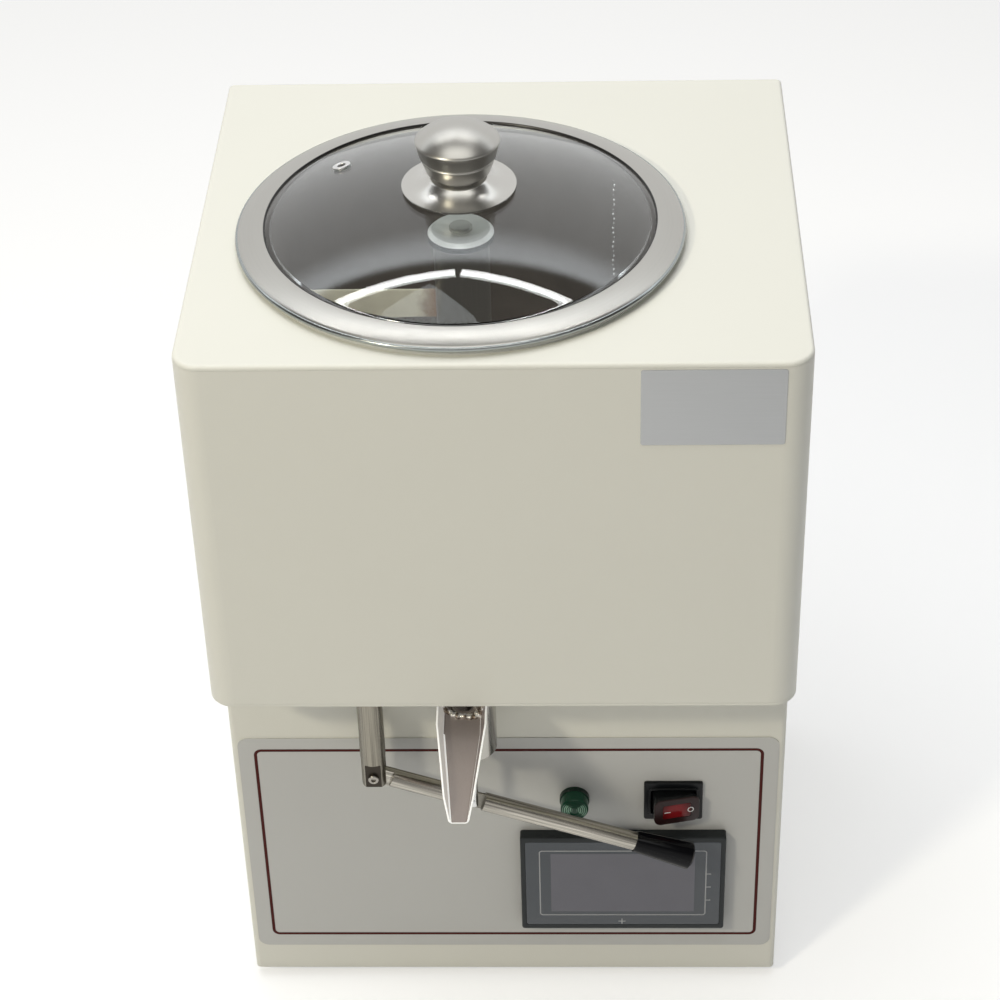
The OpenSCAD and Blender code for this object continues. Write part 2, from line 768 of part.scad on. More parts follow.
// Straight tube from the tank's floor to below the spout, with the spout's port
module valve_tube() {
    low = floor_z + tube_low;
    port_r = 7.5;
    color("silver") translate([tank_x, stem_y, low]) difference() {
        cylinder(r = tube_r, h = tank_floor - tank_t - low);
        translate([0, 0, -1]) cylinder(r = tube_bore_r, h = tank_floor - low);
        translate([spout_offset, -tube_bore_r / 2, spout_root - tube_low + port_r + spout_t])
            rotate([90, 0, 0]) cylinder(r = port_r, h = tube_r);
    }
}

module valve_seat() {
    h = 10;
    color("white") translate([tank_x, stem_y, tank_floor - tank_t - h]) difference() {
        cylinder(r = tube_bore_r, h = h);
        translate([0, 0, -1]) cylinder(r = seat_r, h = h + 2);
    }
}

// Gland that closes the tube's lower end round the stem
module stem_seal() {
    color("white") translate([tank_x, stem_y, floor_z + tube_low + 3]) difference() {
        cylinder(r = tube_bore_r, h = seal_h);
        translate([0, 0, -1]) cylinder(r = stem_r + run, h = seal_h + 2);
    }
}

// Thin rod with a slotted foot that straddles the lever
module valve_stem() {
    color("silver") translate([tank_x, stem_y, 0]) difference() {
        translate([0, 0, fork_z - fork_end]) cylinder(r = stem_r, h = stem_top - fork_z + fork_end);
        translate([-2 * stem_r, -fork_slot / 2, fork_z - fork_end - 1])
            cube([4 * stem_r, fork_slot, fork_end + lever_r + 4]);
        translate([0, 0, fork_z]) rotate([90, 0, 0])
            cylinder(r = fork_pin_r, h = 4 * stem_r, center = true);
    }
}

// Tapered plug on the stem's top, which closes the tank's outlet
module valve_plug() {
    flare = 1.4;
    color("white") translate([tank_x, stem_y, tank_floor]) difference() {
        union() {
            translate([0, 0, -3]) cylinder(r = seat_r - 0.3, h = 3.01);
            cylinder(r = seat_r + flare, h = plug_h - 3);
            translate([0, 0, plug_h - 3]) cylinder(r1 = seat_r + flare, r2 = seat_r, h = 3);
        }
        translate([0, 0, -4]) cylinder(r = stem_r, h = plug_h + 5);
    }
}

module fork_pin() {
    color("silver") translate([tank_x, stem_y, fork_z]) rotate([90, 0, 0])
        cylinder(r = fork_pin_r, h = 2 * stem_r + 1, center = true);
}

// Solid between two upright sections of the spout, in its own sloping frame
module spout_block(from, to, w1, w2, grow, low, high) {
    slab = 0.01;
    hull() for (c = [[from, w1], [to - slab, w2]])
        translate([0, -c[0], 0]) rotate([90, 0, 0]) linear_extrude(slab) polygon([
            [-c[1] / 2 - grow - spout_flare * low / spout_wall, low],
            [c[1] / 2 + grow + spout_flare * low / spout_wall, low],
            [c[1] / 2 + grow + spout_flare * high / spout_wall, high],
            [-c[1] / 2 - grow - spout_flare * high / spout_wall, high]
        ]);
}

// Open tapering channel on the front of the tube
module spout() {
    behind = tube_r;
    color("silver") difference() {
        translate([tank_x + spout_offset, front_y + spout_back, floor_z + spout_root])
            rotate([spout_slope, 0, 0]) difference() {
                union() {
                    spout_block(-behind, spout_straight, spout_w, spout_w, spout_t, -spout_t, spout_wall);
                    spout_block(spout_straight, spout_len, spout_w, lip_w, spout_t, -spout_t, spout_wall);
                }
                spout_block(-behind - 1, spout_straight, spout_w, spout_w, 0, 0, spout_wall + 1);
                spout_block(spout_straight - 0.01, spout_len + 1, spout_w,
                            lip_w - (spout_w - lip_w) / (spout_len - spout_straight), 0, 0, spout_wall + 1);
                translate([-spout_w, -spout_len, 0]) rotate([90, 0, 90]) linear_extrude(2 * spout_w)
                    polygon([[-1, 0], [0, 0], [lip_cut, spout_wall], [lip_cut, spout_wall + 2],
                             [-1, spout_wall + 2]]);
            }
        translate([tank_x, stem_y, floor_z + tube_low]) cylinder(r = tube_r, h = lower_h);
        translate([tank_x - spout_len, stem_y - tube_r / 3, floor_z + tube_low])
            cube([2 * spout_len, spout_len, lower_h]);
    }
}

// Round post with a slot for the lever and a flat for the screw's head
module lever_post() {
    low = pivot_h - post_tail;
    flat_y = -post_r + 2.4;
    color("silver") translate([post_x, stem_y, low]) difference() {
        union() {
            translate([0, 0, 1]) cylinder(r = post_r, h = deck_z - low - 1);
            cylinder(r1 = post_r - 1, r2 = post_r, h = 1.001);
            translate([0, 0, deck_z - low - 0.01]) cylinder(r = 3 - run, h = sheet + 4);
        }
        translate([-2 * post_r, -slot_w / 2, -1]) cube([4 * post_r, slot_w, post_tail + slot_up + 1]);
        translate([-post_r * 0.62, -2 * post_r, -1])
            cube([post_r * 1.24, 2 * post_r + flat_y, post_tail + 13]);
        translate([0, 0, post_tail]) rotate([90, 0, 0])
            cylinder(r = pivot_r, h = 3 * post_r, center = true);
    }
}

// Socket screw that the lever turns on
module pivot_screw() {
    head_r = 3.4;
    head_h = 2.2;
    head_y = -post_r + 2.4;
    color("silver") translate([post_x, stem_y, pivot_h]) rotate([-90, 0, 0]) difference() {
        union() {
            translate([0, 0, head_y - 0.01]) cylinder(r = pivot_r, h = 2 * post_r - 3.39);
            translate([0, 0, head_y - head_h]) cylinder(r = head_r, h = head_h);
        }
        translate([0, 0, head_y - head_h - 1]) cylinder(r = 1.5, h = 2.2, $fn = 6);
    }
}

// The lever is drawn level, with its pivot on the origin, and then laid to its rest angle
module lever_place() {
    translate([post_x, stem_y, pivot_h]) rotate([0, lever_rest, 0]) children();
}

module lever_bar() {
    fork_from = arm - stem_r - fork_room;
    fork_to = pin_far + (stem_r + lever_r * sin(lever_rest)) / cos(lever_rest) + fork_room;
    pin_slot = fork_pin_r + pin_play;
    near = arm - 0.6;
    far = pin_far + 0.6;
    in_grip = lever_len + grip_len / 2;
    color("silver") lever_place() difference() {
        union() {
            translate([shoulder, 0, 0]) rotate([0, 90, 0]) cylinder(r = lever_r, h = in_grip - shoulder);
            rotate([90, 0, 0]) cylinder(r = lever_r, h = tongue_t, center = true);
            translate([0, -tongue_t / 2, -lever_r]) cube([shoulder + 0.01, tongue_t, 2 * lever_r]);
        }
        for (s = [0, 1]) mirror([0, s, 0])
            translate([fork_from, fork_tongue_t / 2, -lever_r - 1])
                cube([fork_to - fork_from, lever_r, 2 * lever_r + 2]);
        for (x = [near, far]) translate([x, 0, 0]) rotate([90, 0, 0])
            cylinder(r = pin_slot, h = 2 * lever_r, center = true);
        translate([near, -lever_r, -pin_slot]) cube([far - near, 2 * lever_r, 2 * pin_slot]);
        rotate([90, 0, 0]) cylinder(r = pivot_r + run, h = 2 * lever_r, center = true);
    }
}

// Slightly flaring hand grip with a round end, in profile
module lever_grip() {
    end_r = 4;
    color("black") lever_place() difference() {
        translate([lever_len, 0, 0]) rotate([0, 90, 0]) rotate_extrude() {
            polygon([[0, 0], [grip_r1 - 0.8, 0], [grip_r1, 0.8], [grip_r2, grip_len - end_r],
                     [0, grip_len - end_r]]);
            translate([0, grip_len - end_r]) square([grip_r2 - end_r, end_r]);
            translate([grip_r2 - end_r, grip_len - end_r]) intersection() {
                circle(end_r);
                square(end_r);
            }
        }
        translate([shoulder, 0, 0]) rotate([0, 90, 0])
            cylinder(r = lever_r, h = lever_len + grip_len / 2 - shoulder);
    }
}

// Glass dish: a cap of a sphere with a flat margin held by the rim
module lid_glass() {
    margin_r = dome_in_r - 5;
    color("slategray") difference() {
        translate([tank_x, axis_y, 0]) rotate_extrude($fn = 128) {
            difference() {
                intersection() {
                    translate([0, dome_z]) circle(dome_rad, $fn = 360);
                    translate([0, glass_low]) square([dome_in_r - 0.01, 2 * dome_rise + glass_t]);
                }
                translate([0, dome_z]) circle(dome_rad - glass_t, $fn = 360);
            }
            translate([margin_r, glass_low]) square([glass_edge_r - margin_r, glass_t]);
        }
        translate([tank_x, axis_y, rim_foot]) cylinder(r = screw_r + 1, h = 60);
        vent_place() translate([0, 0, -2 * glass_t]) cylinder(r = vent_r - 2, h = 4 * glass_t);
    }
}

// Steel band in profile: fold over the glass, slope, foot, and lip below the glass
module lid_rim() {
    top = glass_z + rim_fold;
    under = rim_foot + rim_wall;
    crease = 0.4;
    fall = (top - under) / (rim_w - crease);
    lip_z = glass_low - seat_gap;
    pocket_r = glass_edge_r + seat_gap;
    web_r = pocket_r + rim_t;
    wall_r = lid_r - rim_t;
    color("silver") translate([tank_x, axis_y, 0]) rotate_extrude($fn = 128) polygon([
        [dome_in_r, glass_z], [dome_in_r, top], [lid_r - crease, under], [lid_r, under - crease],
        [lid_r, rim_foot], [wall_r, rim_foot],
        [wall_r, top - rim_t - fall * (wall_r - dome_in_r)],
        [web_r, top - rim_t - fall * (web_r - dome_in_r)],
        [web_r, lip_z - rim_t], [dome_in_r + 1, lip_z - rim_t], [dome_in_r + 1, lip_z],
        [pocket_r, lip_z], [pocket_r, glass_z]]);
}

// Knob in profile: rounded top, slanting band, tapered lower band and neck
module lid_knob() {
    cap_rad = (knob_r * knob_r + cap_h * cap_h) / (2 * cap_h);
    cap_z = taper_h + band_h;
    taper_r = knob_r - 3.9;
    band_r = knob_r - 2.7;
    chamfer = 0.8;
    color("silver") translate([tank_x, axis_y, knob_z]) difference() {
        rotate_extrude($fn = 96) {
            translate([0, -neck_h]) square([neck_r, neck_h + 0.01]);
            polygon([[0, 0], [knob_low_r - chamfer, 0], [knob_low_r, chamfer], [taper_r, taper_h],
                     [band_r, taper_h], [knob_r, cap_z - chamfer], [knob_r, cap_z], [0, cap_z]]);
            intersection() {
                translate([0, cap_z + cap_h - cap_rad]) circle(cap_rad, $fn = 180);
                translate([0, cap_z - 0.01]) square([knob_r, cap_h + 1]);
            }
        }
        translate([0, 0, -neck_h - 1]) cylinder(r = screw_r + run, h = 14);
    }
}

// Flared base in profile, hollowed below to the glass, with its sweep as one arc
module knob_base() {
    sweep = knob_base_r - base_top_r;
    rise = knob_base_h - base_edge;
    sweep_rad = (sweep * sweep + rise * rise) / (2 * rise);
    bore_r = screw_r + run;
    color("silver") translate([tank_x, axis_y, 0]) rotate_extrude($fn = 96) difference() {
        translate([bore_r, knob_seat]) square([knob_base_r - bore_r, knob_base_h]);
        translate([knob_base_r, knob_seat + base_edge + sweep_rad]) circle(sweep_rad, $fn = 180);
        translate([0, dome_z]) circle(dome_rad + washer_t + seat_gap, $fn = 720);
    }
}

// Soft washer between the glass and the knob's base, curved like the glass
module knob_washer() {
    inner_r = screw_r + 1;
    color("dimgray") translate([tank_x, axis_y, dome_z]) rotate_extrude($fn = 96) intersection() {
        difference() {
            circle(dome_rad + washer_t, $fn = 720);
            circle(dome_rad + seat_gap, $fn = 720);
        }
        translate([inner_r, 0]) square([knob_base_r - 3 - inner_r, 2 * dome_rad]);
    }
}

// Screw from under the glass up into the knob, with its rubber washers
module knob_screw() {
    under = glass_top - glass_t;
    color("silver") translate([tank_x, axis_y, 0]) {
        translate([0, 0, under - 3.2]) cylinder(r = 5, h = 2);
        translate([0, 0, under - 1.21]) cylinder(r = 8, h = 1.1);
        translate([0, 0, under - 1.5]) cylinder(r = screw_r, h = knob_z + 9 - under);
    }
}

// Place of the vent on the dome, square to its surface
module vent_place() {
    translate([tank_x, axis_y, dome_z]) rotate(vent_angle) rotate([0, asin(vent_out / dome_rad), 0])
        translate([0, 0, dome_rad]) children();
}

// Steel eyelet through the glass
module vent_grommet() {
    ring_h = 0.9;
    color("silver") vent_place() difference() {
        union() {
            translate([0, 0, seat_gap]) cylinder(r = vent_r, h = ring_h);
            translate([0, 0, -glass_t - ring_h]) cylinder(r = vent_r - 2.2, h = glass_t + ring_h + 0.5);
            translate([0, 0, -glass_t - ring_h - 0.1]) cylinder(r = vent_r, h = ring_h - 0.1);
        }
        translate([0, 0, -2 * glass_t]) cylinder(r = vent_bore_r, h = 4 * glass_t);
    }
}

// Front part of the touch panel, with a shallow bed for the film
module panel_bezel() {
    bed = 0.7;
    color("darkslategray") difference() {
        union() {
            front_plate(panel_x, face_y - panel_t + 1.4, floor_z + panel_z, panel_w, panel_h,
                        panel_t - 1.4, panel_r);
            front_plate(panel_x, face_y - panel_t, floor_z + panel_z, panel_w - 2.4, panel_h - 2.4,
                        1.5, panel_r - 1.2);
        }
        front_plate(panel_x, face_y - panel_t - 1, floor_z + panel_z, film_w, film_h, 1 + bed, 2);
    }
}

module panel_screen() {
    color("dimgray") front_plate(panel_x, face_y - panel_t + 0.1, floor_z + panel_z, film_w - 2 * sheet_gap,
                                 film_h - 2 * sheet_gap, 0.6, 1.8);
}

// Case of the touch panel behind the front wall, held by its screw clips
module panel_case() {
    w = panel_w - 4 * panel_cut - 2 * sheet_gap;
    h = panel_h - 2 * panel_cut - 2 * sheet_gap;
    color("darkslategray") {
        difference() {
            front_plate(panel_x, face_y, floor_z + panel_z, w, h, panel_back, 1.8);
            for (i = [-3 : 3])
                front_plate(panel_x + i * 12, face_y + panel_back - 1.2, floor_z + panel_z + h / 4,
                            4, h / 3, 2, 1.9);
        }
        for (x = [-1, 1], z = [-1, 1])
            translate([panel_x + x * (w / 2 - 18) - 4, lower_y + sheet + 0.2,
                       floor_z + panel_z + z * (h / 2 + 2.1) - 2.2]) cube([8, 12, 4.4]);
    }
}

// Collar and threaded barrel of the lamp
module lamp_body() {
    z = floor_z + row_z;
    collar_t = 4;
    color("darkslategray") {
        bar_y(lamp_x, face_y - collar_t, z, lamp_r, collar_t);
        bar_y(lamp_x, face_y - 0.01, z, lens_r - 1.3, 34);
        difference() {
            translate([lamp_x, lower_y + sheet, z]) rotate([-90, 0, 0])
                cylinder(r = lamp_r + 1, h = 4, $fn = 6);
            bar_y(lamp_x, lower_y + sheet - 1, z, lens_r - 1.4, 6);
        }
    }
}

// Stepped lens cap, in profile
module lamp_lens() {
    z = floor_z + row_z;
    depth = lamp_t - 4;
    color("darkgreen") translate([lamp_x, face_y - 4, z]) rotate([90, 0, 0]) rotate_extrude() {
        square([lens_r, depth - 1.5]);
        translate([0, depth - 1.51]) square([lens_r - 1.5, 1.51]);
        translate([lens_r - 1.5, depth - 1.5]) intersection() {
            circle(1.5);
            square(1.5);
        }
    }
}

// Frame, shroud and body of the rocker switch
module switch_frame() {
    z = floor_z + row_z;
    rim_d = 2.2;
    shroud_d = 6;
    ears = rocker_h + 2 * rocker_ear_l;
    room_w = rocker_w + 2 * rocker_gap;
    room_h = rocker_h + 2 * rocker_gap;
    color("black") difference() {
        union() {
            front_plate(switch_x, face_y - rim_d, z, switch_w, switch_h, rim_d, 2);
            front_plate(switch_x, face_y - shroud_d, z, room_w + 4, room_h + 4, shroud_d, 1.6);
            front_plate(switch_x, face_y - 0.01, z, switch_w - 7.4, switch_h - 7.4, 26, 0.4);
            for (x = [-8, 0, 8])
                front_plate(switch_x + x, face_y + 25.9, z, 0.8, 6, 9, 0.3);
        }
        front_plate(switch_x, face_y - shroud_d - 1, z, room_w, room_h, shroud_d + 13, 0.4);
        rocker_place() cylinder(r = rocker_ear_r + run, h = ears + 0.2, center = true);
    }
}

// The rocker turns on an upright line through its ears
module rocker_place() {
    translate([switch_x, face_y - 1, floor_z + row_z]) children();
}

// Rocker with two faces that meet at an angle, round ends, and an ear at its top and foot
module switch_rocker() {
    crest = 3.8;
    dip = 4;
    tail = 7;
    color("darkred") rocker_place() rotate(rocker_tilt) {
        translate([0, 0, -rocker_h / 2]) linear_extrude(rocker_h) intersection() {
            circle(rocker_w / 2);
            polygon([[-rocker_w, -crest - dip], [0, -crest], [rocker_w, -crest - dip],
                     [rocker_w / 2, dip], [dip, tail], [-dip, tail], [-rocker_w / 2, dip]]);
        }
        cylinder(r = rocker_ear_r, h = rocker_h + 2 * rocker_ear_l, center = true);
    }
}

// Enclosed power supply on the base plate, with its terminal strip
module power_supply() {
    w = 98;
    d = 110;
    h = 38;
    from_side = 37;
    color("silver") translate([from_side - cabinet_w / 2, axis_y - 20, floor_z + sheet]) difference() {
        cube([w, d, h]);
        translate([4, -1, 6]) cube([w - 8, 15, h]);
        for (i = [0 : 6]) translate([14 + i * 11, 30, h - 1]) cube([4, 60, 2]);
    }
}

// Control board on stand-offs, with its relays and terminals
module control_board() {
    w = 110;
    d = 80;
    lift = 8;
    from_side = 52;
    color("darkgreen") translate([cabinet_w / 2 - from_side - w, axis_y + 40, floor_z + sheet]) {
        for (x = [5, w - 5], y = [5, d - 5]) translate([x, y, 0]) cylinder(r = 3, h = lift + 0.01);
        translate([0, 0, lift]) cube([w, d, 1.6]);
        for (i = [0 : 3]) translate([8 + i * 25, d - 26, lift + 1.59]) cube([19, 15.5, 15.5]);
        translate([8, 8, lift + 1.59]) cube([60, 10, 10]);
        translate([80, 12, lift + 1.59]) cube([20, 20, 12]);
    }
}

module fan_screw_places() {
    pitch = fan_w / 2 - 5;
    for (x = [-1, 1], z = [-1, 1])
        translate([fan_x + x * pitch, 0, floor_z + fan_z + z * pitch]) children();
}

// Square frame with a round duct, struts and the rotor's seat
module fan_frame() {
    z = floor_z + fan_z;
    y0 = cover_y - fan_t;
    color("black") {
        difference() {
            front_plate(fan_x, y0, z, fan_w, fan_w, fan_t, 4);
            bar_y(fan_x, y0 - 1, z, fan_bore_r, fan_t + 2);
            fan_screw_places() bar_y(0, y0 - 1, 0, screw_r, fan_t + 2);
        }
        bar_y(fan_x, y0, z, fan_hub_r, fan_plate);
        for (i = [0 : 3]) translate([fan_x, y0 + 0.4, z]) rotate([0, 45 + 90 * i, 0])
            translate([fan_hub_r - 1, 0, -2]) cube([fan_bore_r - fan_hub_r + 3, fan_plate - 0.8, 4]);
        bar_y(fan_x, y0 + fan_plate - 0.01, z, screw_r, fan_axle);
    }
}

// Fan wheel with leaning blades round its hub
module fan_rotor() {
    z = floor_z + fan_z;
    y0 = cover_y - fan_t + fan_plate + 0.5;
    deep = fan_t - fan_plate - 4;
    color("dimgray") difference() {
        union() {
            bar_y(fan_x, y0, z, fan_hub_r, deep);
            for (i = [0 : fan_blades - 1])
                translate([fan_x, y0 + deep / 2, z]) rotate([0, 360 / fan_blades * i, 0])
                    rotate([32, 0, 0]) translate([fan_hub_r - 2, -deep / 2, -0.9])
                        cube([fan_wheel_r - fan_hub_r, deep, 1.8]);
        }
        bar_y(fan_x, y0 - 1, z, screw_r + run, fan_axle + 1.5);
    }
}

// Wire guard: rings on four crossing stays, screwed to the cover
module fan_guard() {
    z = floor_z + fan_z;
    w = guard_wire;
    pitch = fan_w / 2 - 5;
    color("silver") {
        for (r = [14 : 9 : fan_bore_r])
            translate([fan_x, rear_y + 2.5 * w, z]) rotate([90, 0, 0])
                rotate_extrude($fn = 48) translate([r, 0]) circle(w / 2, $fn = 12);
        for (i = [0 : 1]) translate([fan_x, rear_y + w, z]) rotate([0, 45 + 90 * i, 0])
            translate([-pitch * 1.414, 0, -w / 2]) cube([2 * pitch * 1.414, w + 0.4, w]);
        fan_screw_places() difference() {
            union() {
                bar_y(0, rear_y, 0, 4, w);
                bar_y(0, rear_y + w - 0.01, 0, screw_head_r, screw_head_h);
                bar_y(0, cover_y - 8, 0, screw_r - run, sheet + 8.01);
            }
            bar_y(0, rear_y + w + screw_head_h - 1, 0, 1.2, 3, $fn = 6);
        }
    }
}

// Plan of the mains socket with its two cut lower corners
module socket_plan(w, h) {
    cut = 4;
    polygon([[-w / 2, -h / 2], [w / 2, -h / 2], [w / 2, h / 2 - cut], [w / 2 - cut, h / 2],
             [-w / 2 + cut, h / 2], [-w / 2, h / 2 - cut]]);
}

// Flanged socket with three flat pins, screwed to the cover
module mains_inlet() {
    z = floor_z + inlet_z;
    flange = 2.4;
    color("black") {
        difference() {
            union() {
                front_plate(inlet_x, rear_y, z, inlet_w, inlet_h, flange, 3);
                front_plate(inlet_x, rear_y - inlet_depth, z, socket_w + 3.6, socket_h + 3.6,
                            inlet_depth + 0.01, 1.8);
            }
            translate([inlet_x, rear_y + flange + 1, z]) rotate([90, 0, 0])
                linear_extrude(inlet_depth + flange - 1) socket_plan(socket_w, socket_h);
            for (s = [-1, 1]) bar_y(inlet_x + s * 20, rear_y - 1, z, 1.6, flange + 2);
        }
        for (p = [[-7, -1.5], [0, 2.5], [7, -1.5]])
            translate([inlet_x + p[0] - pin_w / 2, rear_y - inlet_depth + 1, z + p[1] - pin_h / 2])
                cube([pin_w, inlet_depth - 2, pin_h]);
    }
}

// Screwed fuse carrier beside the inlet
module fuse_holder() {
    z = floor_z + inlet_z;
    color("black") difference() {
        union() {
            bar_y(fuse_x, rear_y, z, fuse_r, 2);
            bar_y(fuse_x, rear_y + 1.99, z, fuse_r - 2.5, 2.6);
            bar_y(fuse_x, rear_y - 30, z, fuse_r - 2.5, 30.01);
        }
        translate([fuse_x - fuse_r, rear_y + 3.4, z - 0.6]) cube([2 * fuse_r, 3, 1.2]);
    }
}

upper_shell();
top_plate();
lower_shell();
deck_plate();
base_plate();
rear_cover();
cover_screws();
feet();
front_overlay();
tank();
tank_gasket();
band_heater();
temperature_probe();
overheat_cutout();
gearbox();
gear_motor();
motor_screws();
upper_bush();
lower_bush();
drive_shaft();
shaft_coupling();
stirrer_sleeve();
stirrer_paddles();
hub_disc();
hub_bolt();
valve_tube();
valve_seat();
stem_seal();
valve_stem();
valve_plug();
fork_pin();
spout();
lever_post();
pivot_screw();
lever_bar();
lever_grip();
lid_glass();
lid_rim();
lid_knob();
knob_base();
knob_washer();
knob_screw();
vent_grommet();
panel_bezel();
panel_screen();
panel_case();
lamp_body();
lamp_lens();
switch_frame();
switch_rocker();
power_supply();
control_board();
fan_frame();
fan_rotor();
fan_guard();
mains_inlet();
fuse_holder();
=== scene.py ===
"""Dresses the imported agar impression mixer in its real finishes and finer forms."""

from __future__ import annotations

import logging
import math
from collections.abc import Callable, Iterator, Sequence
from contextlib import contextmanager
from dataclasses import dataclass
from enum import Enum

import bmesh
import bpy
from mathutils import Matrix, Vector


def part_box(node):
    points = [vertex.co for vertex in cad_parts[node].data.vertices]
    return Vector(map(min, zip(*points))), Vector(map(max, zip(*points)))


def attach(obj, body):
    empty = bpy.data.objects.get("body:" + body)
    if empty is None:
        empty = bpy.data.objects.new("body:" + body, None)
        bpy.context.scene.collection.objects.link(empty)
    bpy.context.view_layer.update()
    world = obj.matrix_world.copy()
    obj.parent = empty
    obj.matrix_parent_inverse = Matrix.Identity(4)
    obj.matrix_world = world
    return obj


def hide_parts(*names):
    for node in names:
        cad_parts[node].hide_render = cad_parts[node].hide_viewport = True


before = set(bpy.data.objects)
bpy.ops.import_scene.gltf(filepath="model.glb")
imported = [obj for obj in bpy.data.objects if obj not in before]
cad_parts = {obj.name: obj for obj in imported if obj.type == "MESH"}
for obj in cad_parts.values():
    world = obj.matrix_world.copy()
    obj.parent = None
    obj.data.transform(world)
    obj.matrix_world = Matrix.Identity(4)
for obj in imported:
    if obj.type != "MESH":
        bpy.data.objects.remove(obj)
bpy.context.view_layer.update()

LOG = logging.getLogger("mixer")
MM = 0.001
TINY = 0.0005
SLACK = 0.01
ARC_STEPS = 5
BOARD_SKIN = 9.6
Colour = tuple[float, float, float]
Place = tuple[float, float, float]
Point = tuple[float, float]
Outline = Sequence[tuple[float, ...]]
Test = Callable[[Vector, Vector], bool]


# Modelling


class Pick(Enum):
    """Kind of mesh element that an edit works on."""

    VERT = "VERT"
    EDGE = "EDGE"
    FACE = "FACE"


@dataclass(frozen=True)
class Span:
    """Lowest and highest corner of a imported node, in millimetres."""

    low: Vector
    high: Vector

    @classmethod
    def of(cls, node: str) -> Span:
        """Reads the box of a node at rest."""
        low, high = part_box(node)
        return cls(Vector(low) / MM, Vector(high) / MM)

    @property
    def middle(self) -> Vector:
        """Centre of the box."""
        return (self.low + self.high) / 2


def put(place: Sequence[float] = (0, 0, 0), angle: float = 0.0, axis: str = "X") -> Matrix:
    """Gives the matrix of a turn in degrees about an axis, followed by a shift."""
    return Matrix.Translation(place) @ Matrix.Rotation(math.radians(angle), 4, axis)


def along_y(place: Vector, way: Vector) -> bool:
    """Tells whether an edge runs from front to back."""
    return abs(way.y) > 0.99


def rounded(outline: Outline) -> list[Point]:
    """Turns the corners of an outline into arcs.

    Args:
        outline: Corners as (r, z), or (r, z, radius) where a corner is rounded.

    Returns:
        The points of the outline with its arcs.
    """
    points: list[Point] = []
    for index, corner in enumerate(outline):
        here = Vector(corner[:2])
        if len(corner) < 3:
            points.append((here.x, here.y))
            continue
        before = Vector(outline[index - 1][:2]) - here
        after = Vector(outline[(index + 1) % len(outline)][:2]) - here
        half = before.angle(after) / 2
        reach = min(corner[2] / math.tan(half), before.length * 0.499, after.length * 0.499)
        radius = reach * math.tan(half)
        centre = here + (before.normalized() + after.normalized()).normalized() * radius / math.sin(half)
        start = here + before.normalized() * reach - centre
        turn = start.angle_signed(here + after.normalized() * reach - centre)
        for step in range(ARC_STEPS + 1):
            spoke = Matrix.Rotation(-turn * step / ARC_STEPS, 2) @ start
            points.append((centre.x + spoke.x, centre.y + spoke.y))
    return points


def arc(centre: Point, radius: float, start: float, end: float, steps: int) -> list[Point]:
    """Gives the points of an arc in the (r, z) plane, with its angles in degrees."""
    angles = [math.radians(start + (end - start) * step / steps) for step in range(steps + 1)]
    return [(centre[0] + radius * math.cos(a), centre[1] + radius * math.sin(a)) for a in angles]


